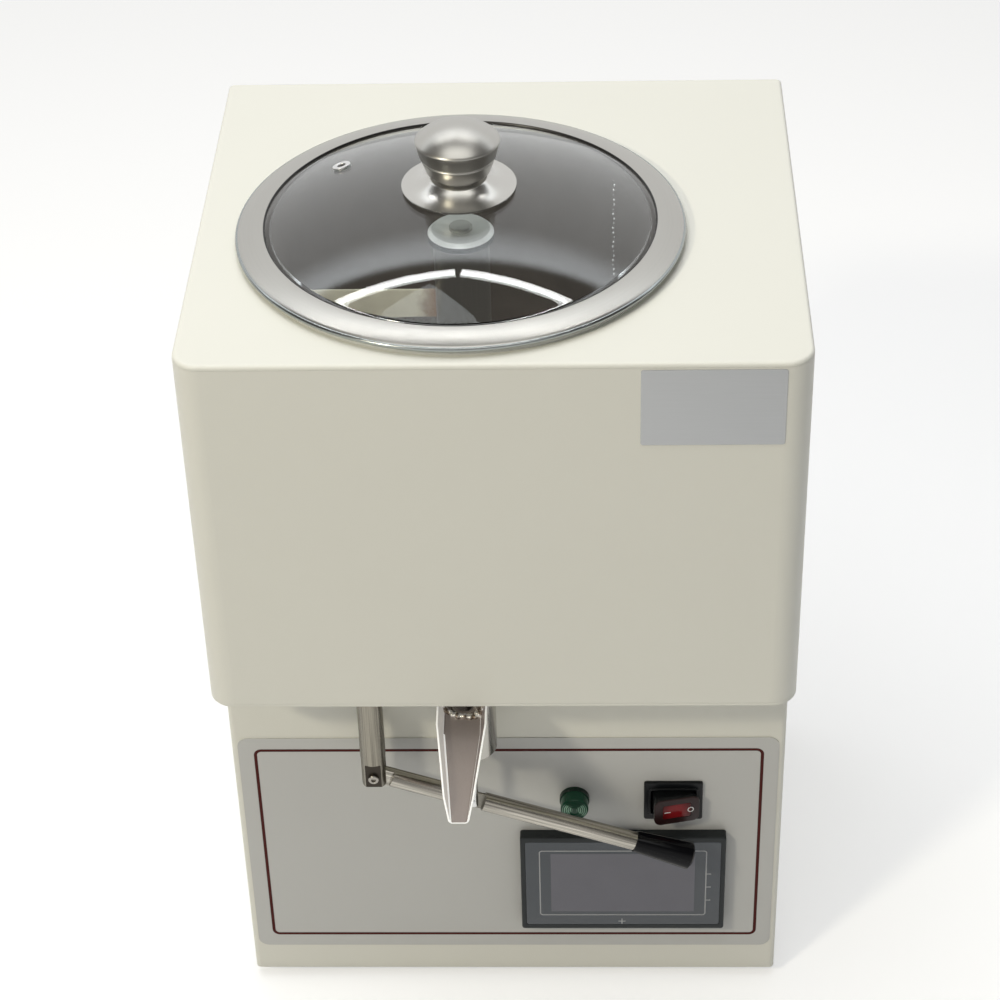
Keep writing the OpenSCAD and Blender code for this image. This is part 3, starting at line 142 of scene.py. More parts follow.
class Piece:
    """One mesh object, modelled in millimetres with Blender's own operators."""

    def __init__(self, obj: bpy.types.Object) -> None:
        """Takes over an object."""
        self.obj = obj

    @classmethod
    def add(cls, name: str, primitive: Callable, **settings: object) -> Piece:
        """Adds a primitive, with nothing else selected.

        Args:
            name: Name of the piece.
            primitive: Operator that adds it.
            settings: Settings of the operator, in metres.

        Returns:
            The new piece.
        """
        bpy.ops.object.select_all(action="DESELECT")
        primitive(**settings)
        return cls.adopt(name)

    @classmethod
    def adopt(cls, name: str) -> Piece:
        """Names the object that was just added and puts its place into its mesh."""
        obj = bpy.context.object
        obj.name = obj.data.name = name
        bpy.ops.object.transform_apply(location=True, rotation=True, scale=True)
        return cls(obj)

    @classmethod
    def block(cls, name: str, low: Sequence[float], high: Sequence[float]) -> Piece:
        """Adds a box between two corners, to be shaped further."""
        first, last = Vector(low) * MM, Vector(high) * MM
        middle = (first + last) / 2
        return cls.add(name, bpy.ops.mesh.primitive_cube_add, size=1, location=middle, scale=last - first)

    @classmethod
    def plate(
        cls,
        name: str,
        low: Sequence[float],
        high: Sequence[float],
        radius: float,
        edge: float = 0.0,
        steps: int = 8,
    ) -> Piece:
        """Adds an upright plate that faces the front, with round corners.

        Args:
            name: Name of the piece.
            low: Lowest corner.
            high: Highest corner.
            radius: Radius of the four corners.
            edge: Width of the rounding of the front edges, or 0.
            steps: Chords in each corner.

        Returns:
            The new piece.
        """
        piece = cls.block(name, low, high).bevel(along_y, radius, steps)
        if edge:
            piece.bevel(lambda place, way: abs(place.y - low[1]) < SLACK and abs(way.y) < SLACK, edge, 3)
        return piece

    @classmethod
    def turned(cls, name: str, outline: Outline, sides: int = 96, closed: bool = False) -> Piece:
        """Turns an outline round the Z axis, ring by ring.

        Args:
            name: Name of the piece.
            outline: Points as (r, z), with rounded corners as (r, z, radius).
            sides: Number of sides.
            closed: Whether the last ring joins the first.

        Returns:
            The new piece, standing on the origin's axis.
        """
        points = rounded(outline)
        radius, height = max(points[0][0], TINY), points[0][1]
        first = {"vertices": sides, "radius": radius * MM, "location": (0, 0, height * MM)}
        piece = cls.add(name, bpy.ops.mesh.primitive_circle_add, **first)
        with piece.editing(Pick.VERT):
            for ring_r, ring_z in points[1:] + ([points[0]] if closed else []):
                grow = max(ring_r, TINY) / radius
                rise = (0, 0, (ring_z - height) * MM)
                bpy.ops.mesh.extrude_region_move(TRANSFORM_OT_translate={"value": rise})
                bpy.ops.transform.resize(value=(grow, grow, 1), center_override=(0, 0, ring_z * MM))
                radius, height = max(ring_r, TINY), ring_z
        return piece.clean()

    @classmethod
    def rod(cls, name: str, radius: float, low: float, high: float, sides: int = 32) -> Piece:
        """Adds a round rod on the Z axis."""
        return cls.turned(name, [(0, low), (radius, low), (radius, high), (0, high)], sides)

    @classmethod
    def drops(cls, name: str, radius: float, spots: Sequence[tuple[Place, float]]) -> Piece:
        """Lays round drops in one mesh.

        Args:
            name: Name of the piece.
            radius: Radius of a drop before it is scaled.
            spots: Place and scale of each drop.

        Returns:
            The new piece.
        """
        ball = {"subdivisions": 2, "radius": radius * MM}
        first = cls.add("first_drop", bpy.ops.mesh.primitive_ico_sphere_add, **ball)
        drops: list[Piece] = []
        for index, (spot, grow) in enumerate(spots):
            drops.append(first.copy(f"drop_{index}").place(put(spot) @ Matrix.Scale(grow, 4)))
        first.drop()
        return drops[0].join(*drops[1:], name=name)

    @contextmanager
    def editing(self, kind: Pick, test: Test | None = None) -> Iterator[int]:
        """Opens the mesh in edit mode with the elements selected that pass a test.

        Args:
            kind: Kind of element.
            test: Takes an element's place in millimetres, and its normal or an edge's direction.
                Without a test all are selected.

        Yields:
            The number of elements that passed.
        """
        self.select()
        bpy.ops.object.mode_set(mode="EDIT")
        bpy.ops.mesh.select_mode(type=kind.value)
        bpy.ops.mesh.select_all(action="DESELECT" if test else "SELECT")
        try:
            yield self.pick(kind, test) if test else 0
        finally:
            bpy.ops.object.mode_set(mode="OBJECT")

    def pick(self, kind: Pick, test: Test) -> int:
        """Selects, in edit mode, the elements that pass a test.

        Args:
            kind: Kind of element.
            test: Takes an element's place in millimetres, and its normal or an edge's direction.

        Returns:
            The number of elements selected.
        """
        mesh = bmesh.from_edit_mesh(self.obj.data)
        found = 0
        for item in {Pick.VERT: mesh.verts, Pick.EDGE: mesh.edges, Pick.FACE: mesh.faces}[kind]:
            if kind is Pick.EDGE:
                first, last = (vert.co for vert in item.verts)
                place, way = (first + last) / 2, (last - first).normalized()
            else:
                place, way = item.co if kind is Pick.VERT else item.calc_center_median(), item.normal
            if test(place / MM, way):
                item.select_set(True)
                found += 1
        bmesh.update_edit_mesh(self.obj.data)
        return found

    def select(self) -> None:
        """Makes this the only selected object, and the active one."""
        bpy.ops.object.select_all(action="DESELECT")
        self.obj.select_set(True)
        bpy.context.view_layer.objects.active = self.obj

    def bevel(self, test: Test, width: float, steps: int = 3) -> Piece:
        """Rounds the edges that pass a test.

        Args:
            test: Takes the middle of an edge in millimetres and its direction.
            width: Width of the rounding.
            steps: Chords across it.

        Returns:
            The piece.
        """
        with self.editing(Pick.EDGE, test) as found:
            if found:
                bpy.ops.mesh.bevel(offset=width * MM, segments=steps, affect="EDGES")
        return self

    def extrude(self, test: Test, shift: Sequence[float]) -> Piece:
        """Draws out the edges that pass a test.

        Args:
            test: Takes the middle of an edge in millimetres and its direction.
            shift: Way in which they are drawn.

        Returns:
            The piece.
        """
        with self.editing(Pick.EDGE, test):
            bpy.ops.mesh.extrude_region_move(TRANSFORM_OT_translate={"value": Vector(shift) * MM})
        return self

    def shift(self, test: Test, move: Sequence[float]) -> Piece:
        """Moves the points that pass a test.

        Args:
            test: Takes a point's place in millimetres and its normal.
            move: Shift of the points.

        Returns:
            The piece.
        """
        with self.editing(Pick.VERT, test):
            bpy.ops.transform.translate(value=Vector(move) * MM)
        return self

    def modify(self, kind: str, **settings: object) -> Piece:
        """Adds a modifier and applies it.

        Args:
            kind: Kind of modifier.
            settings: Its properties.

        Returns:
            The piece.
        """
        self.select()
        modifier = self.obj.modifiers.new(kind.title(), kind)
        for name, value in settings.items():
            setattr(modifier, name, value)
        bpy.ops.object.modifier_apply(modifier=modifier.name)
        return self

    def soften(self, width: float, steps: int = 2, angle: float = 35.0) -> Piece:
        """Rounds every edge sharper than an angle."""
        limit = math.radians(angle)
        return self.modify("BEVEL", width=width * MM, segments=steps, limit_method="ANGLE", angle_limit=limit)

    def combine(self, operation: str, others: Sequence[Piece]) -> Piece:
        """Combines the piece with others.

        Args:
            operation: UNION or DIFFERENCE.
            others: Pieces that are used up.

        Returns:
            The piece.
        """
        for other in others:
            self.modify("BOOLEAN", operation=operation, solver="EXACT", object=other.obj)
            other.drop()
        return self

    def cut(self, *tools: Piece) -> Piece:
        """Takes the tools' space out of the piece."""
        return self.combine("DIFFERENCE", tools)

    def fuse(self, *others: Piece) -> Piece:
        """Makes one skin of the piece and the others."""
        return self.combine("UNION", others)

    def join(self, *others: Piece, name: str = "") -> Piece:
        """Takes others into the same mesh, each with its own skin.

        Args:
            others: Pieces that are taken in.
            name: New name of the piece, or empty to keep its name.

        Returns:
            The piece.
        """
        self.select()
        for other in others:
            other.obj.select_set(True)
        bpy.ops.object.join()
        self.obj.name = name or self.obj.name
        return self

    def drop(self) -> None:
        """Deletes the piece and its mesh."""
        mesh = self.obj.data
        bpy.data.objects.remove(self.obj)
        bpy.data.meshes.remove(mesh)

    def copy(self, name: str) -> Piece:
        """Copies the piece with its own mesh."""
        self.select()
        bpy.ops.object.duplicate(linked=False)
        return Piece.adopt(name)

    def place(self, matrix: Matrix) -> Piece:
        """Moves the mesh.

        Args:
            matrix: Turn, scale and shift, with the shift in millimetres.

        Returns:
            The piece.
        """
        self.select()
        metres = matrix.copy()
        metres.translation = matrix.translation * MM
        self.obj.matrix_world = metres
        bpy.ops.object.transform_apply(location=True, rotation=True, scale=True)
        return self

    def at(self, x: float, y: float, z: float = 0.0) -> Piece:
        """Moves the mesh by a shift in millimetres."""
        return self.place(put((x, y, z)))

    def clean(self, gap: float = 0.002) -> Piece:
        """Merges doubled points and turns the faces outwards.

        Args:
            gap: Distance within which points are merged.

        Returns:
            The piece.
        """
        with self.editing(Pick.VERT):
            bpy.ops.mesh.remove_doubles(threshold=gap * MM)
            bpy.ops.mesh.normals_make_consistent(inside=False)
        return self

    def done(self, finish: Finish, body: str, slot: str, *nodes: str, angle: float = 32.0) -> Piece:
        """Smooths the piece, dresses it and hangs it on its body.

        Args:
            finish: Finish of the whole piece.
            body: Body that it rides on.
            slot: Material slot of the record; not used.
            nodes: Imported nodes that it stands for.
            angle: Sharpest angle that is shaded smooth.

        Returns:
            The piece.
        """
        self.select()
        bpy.ops.object.shade_smooth_by_angle(angle=math.radians(angle))
        self.obj.data.materials.clear()
        self.obj.data.materials.append(finish.material())
        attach(self.obj, body)
        if nodes:
            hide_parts(*nodes)
        LOG.info("%s on %s: %d faces", self.obj.name, body, len(self.obj.data.polygons))
        return self

    def paint(self, finish: Finish, test: Test, laid: Matrix | None = None) -> Piece:
        """Gives the faces that pass a test a finish of their own.

        Args:
            finish: Finish of the faces.
            test: Takes a face's place in millimetres and its normal.
            laid: Frame in which the test reads them, with its shift in millimetres.

        Returns:
            The piece.
        """
        back = (laid or Matrix.Identity(4)).inverted()
        turn = back.to_3x3()
        self.obj.data.materials.append(finish.material())
        with self.editing(Pick.FACE, lambda place, way: test(back @ place, turn @ way)):
            self.obj.active_material_index = len(self.obj.data.materials) - 1
            bpy.ops.object.material_slot_assign()
        return self


# Shader maths


class Sock:
    """Output of a material's node, so that shader maths reads as an expression."""

    def __init__(self, graph: Graph, socket: bpy.types.NodeSocket) -> None:
        """Wraps one output."""
        self.graph = graph
        self.socket = socket

    def out(self, index: int | str) -> Sock:
        """Gives another output of the same node."""
        return Sock(self.graph, self.socket.node.outputs[index])

    def maths(self, operation: str, first: Value, second: Value = 0.0) -> Sock:
        """Adds a Math node."""
        return self.graph.add("Math", {0: first, 1: second}, operation=operation)

    def __add__(self, other: Value) -> Sock:
        """Adds."""
        return self.maths("ADD", self, other)

    __radd__ = __add__

    def __sub__(self, other: Value) -> Sock:
        """Takes a value off this one."""
        return self.maths("SUBTRACT", self, other)

    def __rsub__(self, other: Value) -> Sock:
        """Takes this one off a value."""
        return self.maths("SUBTRACT", other, self)

    def __mul__(self, other: Value) -> Sock:
        """Multiplies."""
        return self.maths("MULTIPLY", self, other)

    __rmul__ = __mul__

    def span(self, low: float, high: float, first: float = 0.0, last: float = 1.0) -> Sock:
        """Maps the range low to high smoothly onto the range first to last."""
        ends = {"Value": self, "From Min": low, "From Max": high, "To Min": first, "To Max": last}
        return self.graph.add("MapRange", ends, interpolation_type="SMOOTHSTEP")


Value = float | tuple | Sock


def shade(colour: Colour, factor: float) -> Colour:
    """Makes a colour lighter or darker."""
    return (colour[0] * factor, colour[1] * factor, colour[2] * factor)


class Graph:
    """Node tree of a material or of the world."""

    def __init__(self, owner: bpy.types.Material | bpy.types.World) -> None:
        """Empties the owner's tree."""
        owner.use_nodes = True
        self.tree = owner.node_tree
        self.tree.nodes.clear()

    def add(self, kind: str, inputs: dict | None = None, **settings: object) -> Sock:
        """Adds a node.

        Args:
            kind: Type of the node, without its ShaderNode prefix.
            inputs: Values or outputs for its sockets, by name or number.
            settings: Properties of the node, set before its sockets.

        Returns:
            The node's first output.
        """
        node = self.tree.nodes.new("ShaderNode" + kind)
        for name, value in settings.items():
            setattr(node, name, value)
        for key, value in (inputs or {}).items():
            socket = node.inputs[key]
            if isinstance(value, Sock):
                self.tree.links.new(value.socket, socket)
            elif isinstance(value, tuple) and socket.type == "RGBA":
                socket.default_value = (*value, 1.0)
            else:
                socket.default_value = value
        return Sock(self, node.outputs[0]) if node.outputs else None

    def place(self, centre: Place = (0, 0, 0), scale: Place = (1, 1, 1)) -> Sock:
        """Gives object coordinates in millimetres.

        Args:
            centre: Place that becomes their origin.
            scale: Factor along each axis.

        Returns:
            The coordinates.
        """
        spot = self.add("TexCoord").out("Object")
        factors = tuple(s / MM for s in scale)
        shift = tuple(-c * s for c, s in zip(centre, scale))
        return self.add("Mapping", {"Vector": spot, "Location": shift, "Scale": factors})

    def noise(self, place: Sock, size: float, detail: float = 2.0, roughness: float = 0.5) -> Sock:
        """Adds a noise whose lumps are about the given size in millimetres."""
        inputs = {"Vector": place, "Scale": 1 / size, "Detail": detail, "Roughness": roughness}
        return self.add("TexNoise", inputs)

    def rings(self, centre: Place, size: float) -> Sock:
        """Adds a noise that runs in rings.

        Args:
            centre: Place on the upright axis that they run round.
            size: Size of its lumps in millimetres.

        Returns:
            The noise.
        """
        place = self.place(centre)
        ring = self.add("CombineXYZ", {"X": self.reach(place), "Y": self.axis(place, "Z")})
        return self.noise(ring, size, 3.0, 0.7)

    def mix(self, factor: Value, first: Value, second: Value) -> Sock:
        """Mixes two colours."""
        return self.add("Mix", {0: factor, 6: first, 7: second}, data_type="RGBA").out(2)

    def mottled(self, factor: Value, colour: Colour, low: float, high: float) -> Sock:
        """Mixes two shades of one colour."""
        return self.mix(factor, shade(colour, low), shade(colour, high))

    def axis(self, place: Sock, name: str) -> Sock:
        """Gives one coordinate of a place."""
        return self.add("SeparateXYZ", {0: place}).out(name)

    def length(self, place: Sock) -> Sock:
        """Gives the distance of a place from its origin."""
        return self.add("VectorMath", {0: place}, operation="LENGTH").out("Value")

    def reach(self, place: Sock) -> Sock:
        """Gives the distance of a place from the Z axis."""
        return self.length(self.add("VectorMath", {0: place, 1: (1, 1, 0)}, operation="MULTIPLY"))

    def bump(self, height: Sock, depth: float, edge: float = 0.0) -> Sock:
        """Adds a bump.

        Args:
            height: Pattern of its heights.
            depth: Depth in millimetres.
            edge: Radius to which edges are shaded round, or 0.

        Returns:
            The normal.
        """
        inputs: dict = {"Height": height, "Distance": depth * MM, "Strength": 1.0}
        if edge:
            inputs["Normal"] = self.add("Bevel", {"Radius": edge * MM}, samples=4)
        return self.add("Bump", inputs)

    def surface(self, inputs: dict) -> None:
        """Ends the material in one shader with the given sockets."""
        self.add("OutputMaterial", {"Surface": self.add("BsdfPrincipled", inputs)})


# Finishes


@dataclass(frozen=True)
class Finish:
    """Base of the finishes, each of which makes one material of its name."""

    name: str

    def material(self) -> bpy.types.Material:
        """Makes the finish's material, or gives it again."""
        found = bpy.data.materials.get(self.name)
        if found is None:
            found = bpy.data.materials.new(self.name)
            self.dress(Graph(found))
        return found

    def dress(self, graph: Graph) -> None:
        """Fills the material's nodes."""
        raise NotImplementedError


@dataclass(frozen=True)
class PowderCoat(Finish):
    """Satin powder coating on folded sheet, with a faint orange peel."""

    colour: Colour
    roughness: float = 0.42
    peel: float = 1.6
    depth: float = 0.012
    edge: float = 0.7

    def dress(self, graph: Graph) -> None:
        """Fills the material's nodes."""
        peel = graph.noise(graph.place(), self.peel, 2.5)
        graph.surface({
            "Base Color": graph.mottled(graph.noise(graph.place(), 140.0), self.colour, 0.98, 1.012),
            "Roughness": peel * 0.10 + (self.roughness - 0.05),
            "Normal": graph.bump(peel, self.depth, self.edge),
            "Coat Weight": 0.12,
            "Coat Roughness": 0.3,
        })


class Grain(Enum):
    """Way in which a metal's marks run."""

    AROUND = "around"
    ALONG_X = "x"
    ALONG_Y = "y"
    ALONG_Z = "z"
    CAST = "cast"


@dataclass(frozen=True)
class Metal(Finish):
    """Bare metal with the marks of its making, and a painted glow where glow is set."""

    colour: Colour
    roughness: float
    grain: Grain = Grain.AROUND
    centre: Place = (0.0, 0.0, 0.0)
    line: float = 0.35
    depth: float = 0.004
    contrast: float = 0.08
    edge: float = 0.0
    metallic: float = 1.0
    # strength of a painted glow that lights the metal in its own colour
    glow: float = 0.0
    lean: float = 0.0
    slow: float = 0.012

    def marks(self, graph: Graph) -> Sock:
        """Gives the pattern of fine lines or grains."""
        if self.grain is Grain.CAST:
            return graph.noise(graph.place(), self.line, 4.0, 0.65)
        if self.grain is Grain.AROUND:
            return graph.rings(self.centre, self.line)
        scale = tuple(self.slow if self.grain.value == axis else 1.0 for axis in "xyz")
        place = graph.place(scale=(1, 1, 1) if self.lean else scale)
        if self.lean:
            turned = graph.add("Mapping", {"Vector": place, "Rotation": (0, -math.radians(self.lean), 0)})
            place = graph.add("Mapping", {"Vector": turned, "Scale": scale})
        return graph.noise(place, self.line, 3.0, 0.7)

    def dress(self, graph: Graph) -> None:
        """Fills the material's nodes."""
        marks, cloud = self.marks(graph), graph.noise(graph.place(), 28.0, 3.0)
        streaks = marks.span(0.36, 0.64) if self.contrast > 0.3 else marks
        graph.surface({
            "Base Color": graph.mottled(streaks, self.colour, 1 - self.contrast, 1 + self.contrast * 0.6),
            "Metallic": self.metallic,
            "Roughness": marks * 0.10 + cloud * 0.06 + (self.roughness - 0.08),
            "Normal": graph.bump(marks, self.depth, self.edge),
            # painted glow: emission in the metal's own colour stands in for light
            "Emission Color": self.colour,
            "Emission Strength": self.glow,
        })


@dataclass(frozen=True)
class TankSteel(Finish):
    """Drawn steel that is bright on its flange and dark brown inside, where a painted glow lifts it."""

    centre: Place
    inner_r: float
    bright: Colour = (0.37, 0.395, 0.39)
    stained: Colour = (0.112, 0.098, 0.086)

    def dress(self, graph: Graph) -> None:
        """Fills the material's nodes."""
        lines = graph.rings(self.centre, 0.5)
        inside = 1 - graph.reach(graph.place(self.centre)).span(self.inner_r + 0.2, self.inner_r + 1.4)
        # the dark brown of the inside wall, mottled
        stain = graph.mottled(graph.noise(graph.place(), 32.0, 4.0, 0.6), self.stained, 0.75, 1.35)
        graph.surface({
            "Base Color": graph.mix(inside, graph.mottled(lines, self.bright, 0.9, 1.0), stain),
            "Metallic": 1.0,
            "Roughness": lines * 0.1 + inside * 0.16 + 0.16,
            "Normal": graph.bump(lines, 0.004),
            # painted glow: the inside's dark brown is lit from within
            "Emission Color": graph.mix(inside, (0.0, 0.0, 0.0), stain),
            "Emission Strength": 0.42,
        })


@dataclass(frozen=True)
class BladeSteel(Finish):
    """Rolled plate with agar stains, burnt brown beside its weld, and lit by a painted glow."""

    centre: Place
    root: float
    colour: Colour = (0.66, 0.61, 0.48)
    burnt: Colour = (0.22, 0.12, 0.06)

    def dress(self, graph: Graph) -> None:
        """Fills the material's nodes."""
        place = graph.place(self.centre)
        stain = graph.noise(place, 9.0, 4.0, 0.6)
        heat = (1 - (graph.reach(place) + stain * 14).span(self.root + 8, self.root + 20)) * 0.95
        tone = graph.mix(heat, graph.mottled(stain, self.colour, 0.8, 1.08), self.burnt)
        graph.surface({
            "Base Color": tone,
            "Metallic": 0.3,
            "Roughness": stain * 0.2 + 0.38,
            "Normal": graph.bump(stain, 0.05),
            # painted glow that lights the blades under the glass
            "Emission Color": tone,
            "Emission Strength": 0.42,
        })


@dataclass(frozen=True)
class Moulded(Finish):
    """Moulded plastic or rubber with a fine texture."""

    colour: Colour
    roughness: float = 0.45
    texture: float = 0.5
    depth: float = 0.02
    edge: float = 0.0
    coat: float = 0.0
    shine: float = 0.5

    def dress(self, graph: Graph) -> None:
        """Fills the material's nodes."""
        grit = graph.noise(graph.place(), self.texture, 3.0, 0.6)
        graph.surface({
            "Base Color": graph.mottled(graph.noise(graph.place(), 22.0), self.colour, 0.93, 1.07),
            "Roughness": grit * 0.12 + (self.roughness - 0.06),
            "Normal": graph.bump(grit, self.depth, self.edge),
            "Coat Weight": self.coat,
            "Coat Roughness": 0.12,
            "Specular IOR Level": self.shine,
        })


@dataclass(frozen=True)
class Pane(Finish):
    """Clear toughened glass with a faint smoky tint and a film of condensation."""

    tint: Colour = (0.80, 0.83, 0.82)

    def dress(self, graph: Graph) -> None:
        """Fills the material's nodes."""
        haze = graph.noise(graph.place(), 26.0, 3.0)
        graph.surface({
            "Base Color": graph.mottled(haze, self.tint, 0.97, 1.0),
            "Roughness": haze.span(0.62, 0.8, 0.0, 0.05),
            "Transmission Weight": 1.0,
            "IOR": 1.5,
        })


@dataclass(frozen=True)
class Lens(Finish):
    """Translucent coloured plastic that is deeper in colour towards its edge."""

    middle: Colour
    edge: Colour
    centre: Place
    reach: float
    glow: float = 0.0

    def dress(self, graph: Graph) -> None:
        """Fills the material's nodes."""
        fade = graph.length(graph.place(self.centre)).span(self.reach * 0.25, self.reach)
        tone = graph.mix(fade, self.middle, self.edge)
        specks = graph.noise(graph.place(), 1.2)
        graph.surface({
            "Base Color": tone,
            "Roughness": specks * 0.06 + 0.10,
            # faint painted glow in the lens colour
            "Emission Color": tone,
            "Emission Strength": self.glow,
            "Specular IOR Level": 0.2,
            "Normal": graph.bump(specks, 0.004),
        })


@dataclass(frozen=True)
class RingLens(Finish):
    """Dark green lens with painted highlight arcs on the grooves at its two sides, and a painted glow."""

    centre: Place
    dark: Colour = (0.003, 0.036, 0.017)
    # colour of the painted highlight arcs
    light: Colour = (0.24, 0.42, 0.30)
    pitch: float = 1.25

    def dress(self, graph: Graph) -> None:
        """Fills the material's nodes."""
        place = graph.place(self.centre)
        across, up = graph.axis(place, "X"), graph.axis(place, "Z")
        out = across.maths("SQRT", across * across + up * up)
        # painted highlight: light arcs on the grooves where the lens faces left and right
        groove_arcs = out.maths("SINE", out * (2 * math.pi / self.pitch)).span(0.0, 0.6)
        side = across.maths("DIVIDE", across.maths("ABSOLUTE", across), out + 0.01).span(0.66, 0.86)
        front = 1 - graph.axis(place, "Y").span(1.0, 1.5)
        shine = groove_arcs * side * out.span(1.2, 2.2) * (1 - out.span(7.6, 8.2)) * front
        tone = graph.mix(shine, self.dark, self.light)
        graph.surface({
            "Base Color": tone,
            "Roughness": graph.noise(graph.place(), 1.2) * 0.06 + 0.14,
            # painted glow of the lens and its painted arcs
            "Emission Color": tone,
            "Emission Strength": 0.22,
            "Specular IOR Level": 0.3,
        })


@dataclass(frozen=True)
class PrintedFilm(Finish):
    """Printed plastic film with a soft velvet texture, whose colour changes with its height."""

    colour: Colour
    low_colour: Colour
    low: float
    high: float
    dust: Colour = (0.2, 0.2, 0.18)

    def dress(self, graph: Graph) -> None:
        """Fills the material's nodes."""
        place = graph.place()
        grit = graph.noise(place, 0.35, 3.0)
        tone = graph.mix(graph.axis(place, "Z").span(self.low, self.high), self.low_colour, self.colour)
        graph.surface({
            "Base Color": graph.mix(graph.noise(place, 60.0) * 0.5, tone, graph.mix(0.06, tone, self.dust)),
            "Roughness": grit * 0.12 + 0.36,
            "Normal": graph.bump(grit, 0.006),
        })


@dataclass(frozen=True)
class Weld(Finish):
    """Rippled weld metal with brown and straw heat tints, lit by a faint painted glow."""

    def dress(self, graph: Graph) -> None:
        """Fills the material's nodes."""
        lumps = graph.noise(graph.place(), 1.3, 3.0, 0.6)
        heat = graph.noise(graph.place(), 4.0).span(0.42, 0.6)
        graph.surface({
            "Base Color": graph.mix(heat, (0.82, 0.80, 0.76), (0.22, 0.17, 0.13)),
            # painted glow on the weld's tints
            "Emission Color": graph.mix(heat, (0.8, 0.8, 0.78), (0.1, 0.08, 0.06)),
            "Emission Strength": 0.10,
            "Metallic": 0.8,
            "Roughness": lumps * 0.2 + 0.16,
            "Normal": graph.bump(lumps, 0.12),
        })


@dataclass(frozen=True)
class Board(Finish):
    """Green circuit board whose tall parts are black."""

    skin: float
    green: Colour = (0.03, 0.16, 0.07)

    def dress(self, graph: Graph) -> None:
        """Fills the material's nodes."""
        place = graph.place()
        colours = {"Color1": self.green, "Color2": shade(self.green, 1.3), "Mortar": shade(self.green, 2.2)}
        lines = {"Vector": place, "Scale": 0.25, "Mortar Size": 0.03}
        tracks = graph.add("TexBrick", {**lines, **colours}, offset=0.0)
        parts = graph.axis(place, "Z").span(self.skin + 0.2, self.skin + 0.4)
        grit = graph.noise(place, 0.6)
        graph.surface({
            "Base Color": graph.mix(parts, tracks, graph.mix(grit, (0.02, 0.02, 0.022), (0.05, 0.05, 0.05))),
            "Roughness": grit * 0.15 + 0.35,
            "Normal": graph.bump(grit, 0.01, 0.2),
        })


COAT = PowderCoat("cream_powder_coat", (0.85, 0.84, 0.755))
MOTOR = PowderCoat("motor_lacquer", (0.045, 0.05, 0.055), 0.4, 1.2, 0.01, 0.5)
ZINC = Metal("zinc_plated_steel", (0.60, 0.61, 0.62), 0.34, Grain.CAST, line=0.6, edge=0.25)
STEEL_Z = Metal("drawn_steel", (0.66, 0.665, 0.66), 0.2, Grain.ALONG_Z, line=0.4)
PROBE = Metal("probe_steel", (0.62, 0.62, 0.61), 0.25, Grain.CAST, line=0.6)
CUTOUT = Metal("cutout_case", (0.45, 0.42, 0.36), 0.4, Grain.CAST, line=0.6, edge=0.3)
HEATER = Metal("heater_band", (0.52, 0.49, 0.43), 0.4, Grain.CAST, line=2.0, edge=0.4)
CASTING = Metal("cast_aluminium", (0.50, 0.51, 0.52), 0.5, Grain.CAST, line=0.9, depth=0.03, edge=0.6)
BRONZE = Metal("sintered_bronze", (0.60, 0.40, 0.20), 0.38, Grain.CAST, line=0.3, edge=0.2)
SUPPLY = Metal("supply_case", (0.62, 0.62, 0.60), 0.42, Grain.CAST, line=1.5, edge=0.4)
CHROME = Metal("plated_wire", (0.68, 0.69, 0.70), 0.18, Grain.CAST, line=0.7)
RUBBER = Moulded("black_rubber", (0.028, 0.028, 0.028), 0.62, 0.9, 0.03, 0.3)
SEAL = Moulded("white_seal", (0.74, 0.74, 0.70), 0.5, 0.8, 0.01, 0.2)
GRIP = Moulded("black_grip", (0.004, 0.0042, 0.0055), 0.1, 0.9, 0.001, shine=0.15)
SWITCH_BLACK = Moulded("switch_black", (0.006, 0.007, 0.008), 0.33, 0.5, 0.008, shine=0.2)
BEZEL = Moulded("panel_grey", (0.020, 0.024, 0.026), 0.42, 0.6, 0.012, shine=0.25)
CASE = Moulded("case_plastic", (0.035, 0.04, 0.045), 0.5, 0.8, 0.02, 0.3)
FAN = Moulded("fan_plastic", (0.02, 0.02, 0.021), 0.4, 0.8, 0.01, 0.3)
FUSE = Moulded("fuse_cap", (0.016, 0.016, 0.017), 0.36, 0.5, 0.01, 0.3)
LIGHT_PRINT = Moulded("light_print", (0.42, 0.43, 0.44), 0.4, 0.6, 0.002)
WHITE_PRINT = Moulded("white_print", (0.80, 0.80, 0.80), 0.4, 0.6, 0.001)

KEPT: dict[Finish, tuple[str, ...]] = {
    COAT: ("upper_shell", "top_plate", "lower_shell", "deck_plate", "base_plate", "rear_cover"),
    ZINC: ("cover_screws", "motor_screws", "knob_screw", "fork_pin"),
    RUBBER: ("feet", "knob_washer"),
    SEAL: ("tank_gasket", "valve_seat", "stem_seal", "valve_plug"),
    STEEL_Z: ("drive_shaft", "shaft_coupling", "valve_stem"),
    BRONZE: ("upper_bush", "lower_bush"),
    FAN: ("fan_frame", "fan_rotor"),
    PROBE: ("temperature_probe",),
    CUTOUT: ("overheat_cutout",),
    HEATER: ("band_heater",),
    CASTING: ("gearbox",),
    MOTOR: ("gear_motor",),
    CHROME: ("fan_guard",),
    SWITCH_BLACK: ("mains_inlet",),
    FUSE: ("fuse_holder",),
    SUPPLY: ("power_supply",),
    CASE: ("panel_case",),
}



def dress_kept() -> None:
    """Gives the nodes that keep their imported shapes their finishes."""
    film, board = Span.of("front_overlay"), Span.of("control_board")
    printed = PrintedFilm("overlay_film", (0.285, 0.28, 0.26), (0.275, 0.275, 0.255), film.low.z, film.high.z)
    circuit = Board("circuit_board", board.low.z + BOARD_SKIN)
    for finish, nodes in {**KEPT, printed: ("front_overlay",), circuit: ("control_board",)}.items():
        for name in nodes:
            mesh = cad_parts[name].data
            mesh.materials.clear()
            mesh.materials.append(finish.material())
            LOG.info("%s keeps its packed shape", name)


# Sub-assemblies


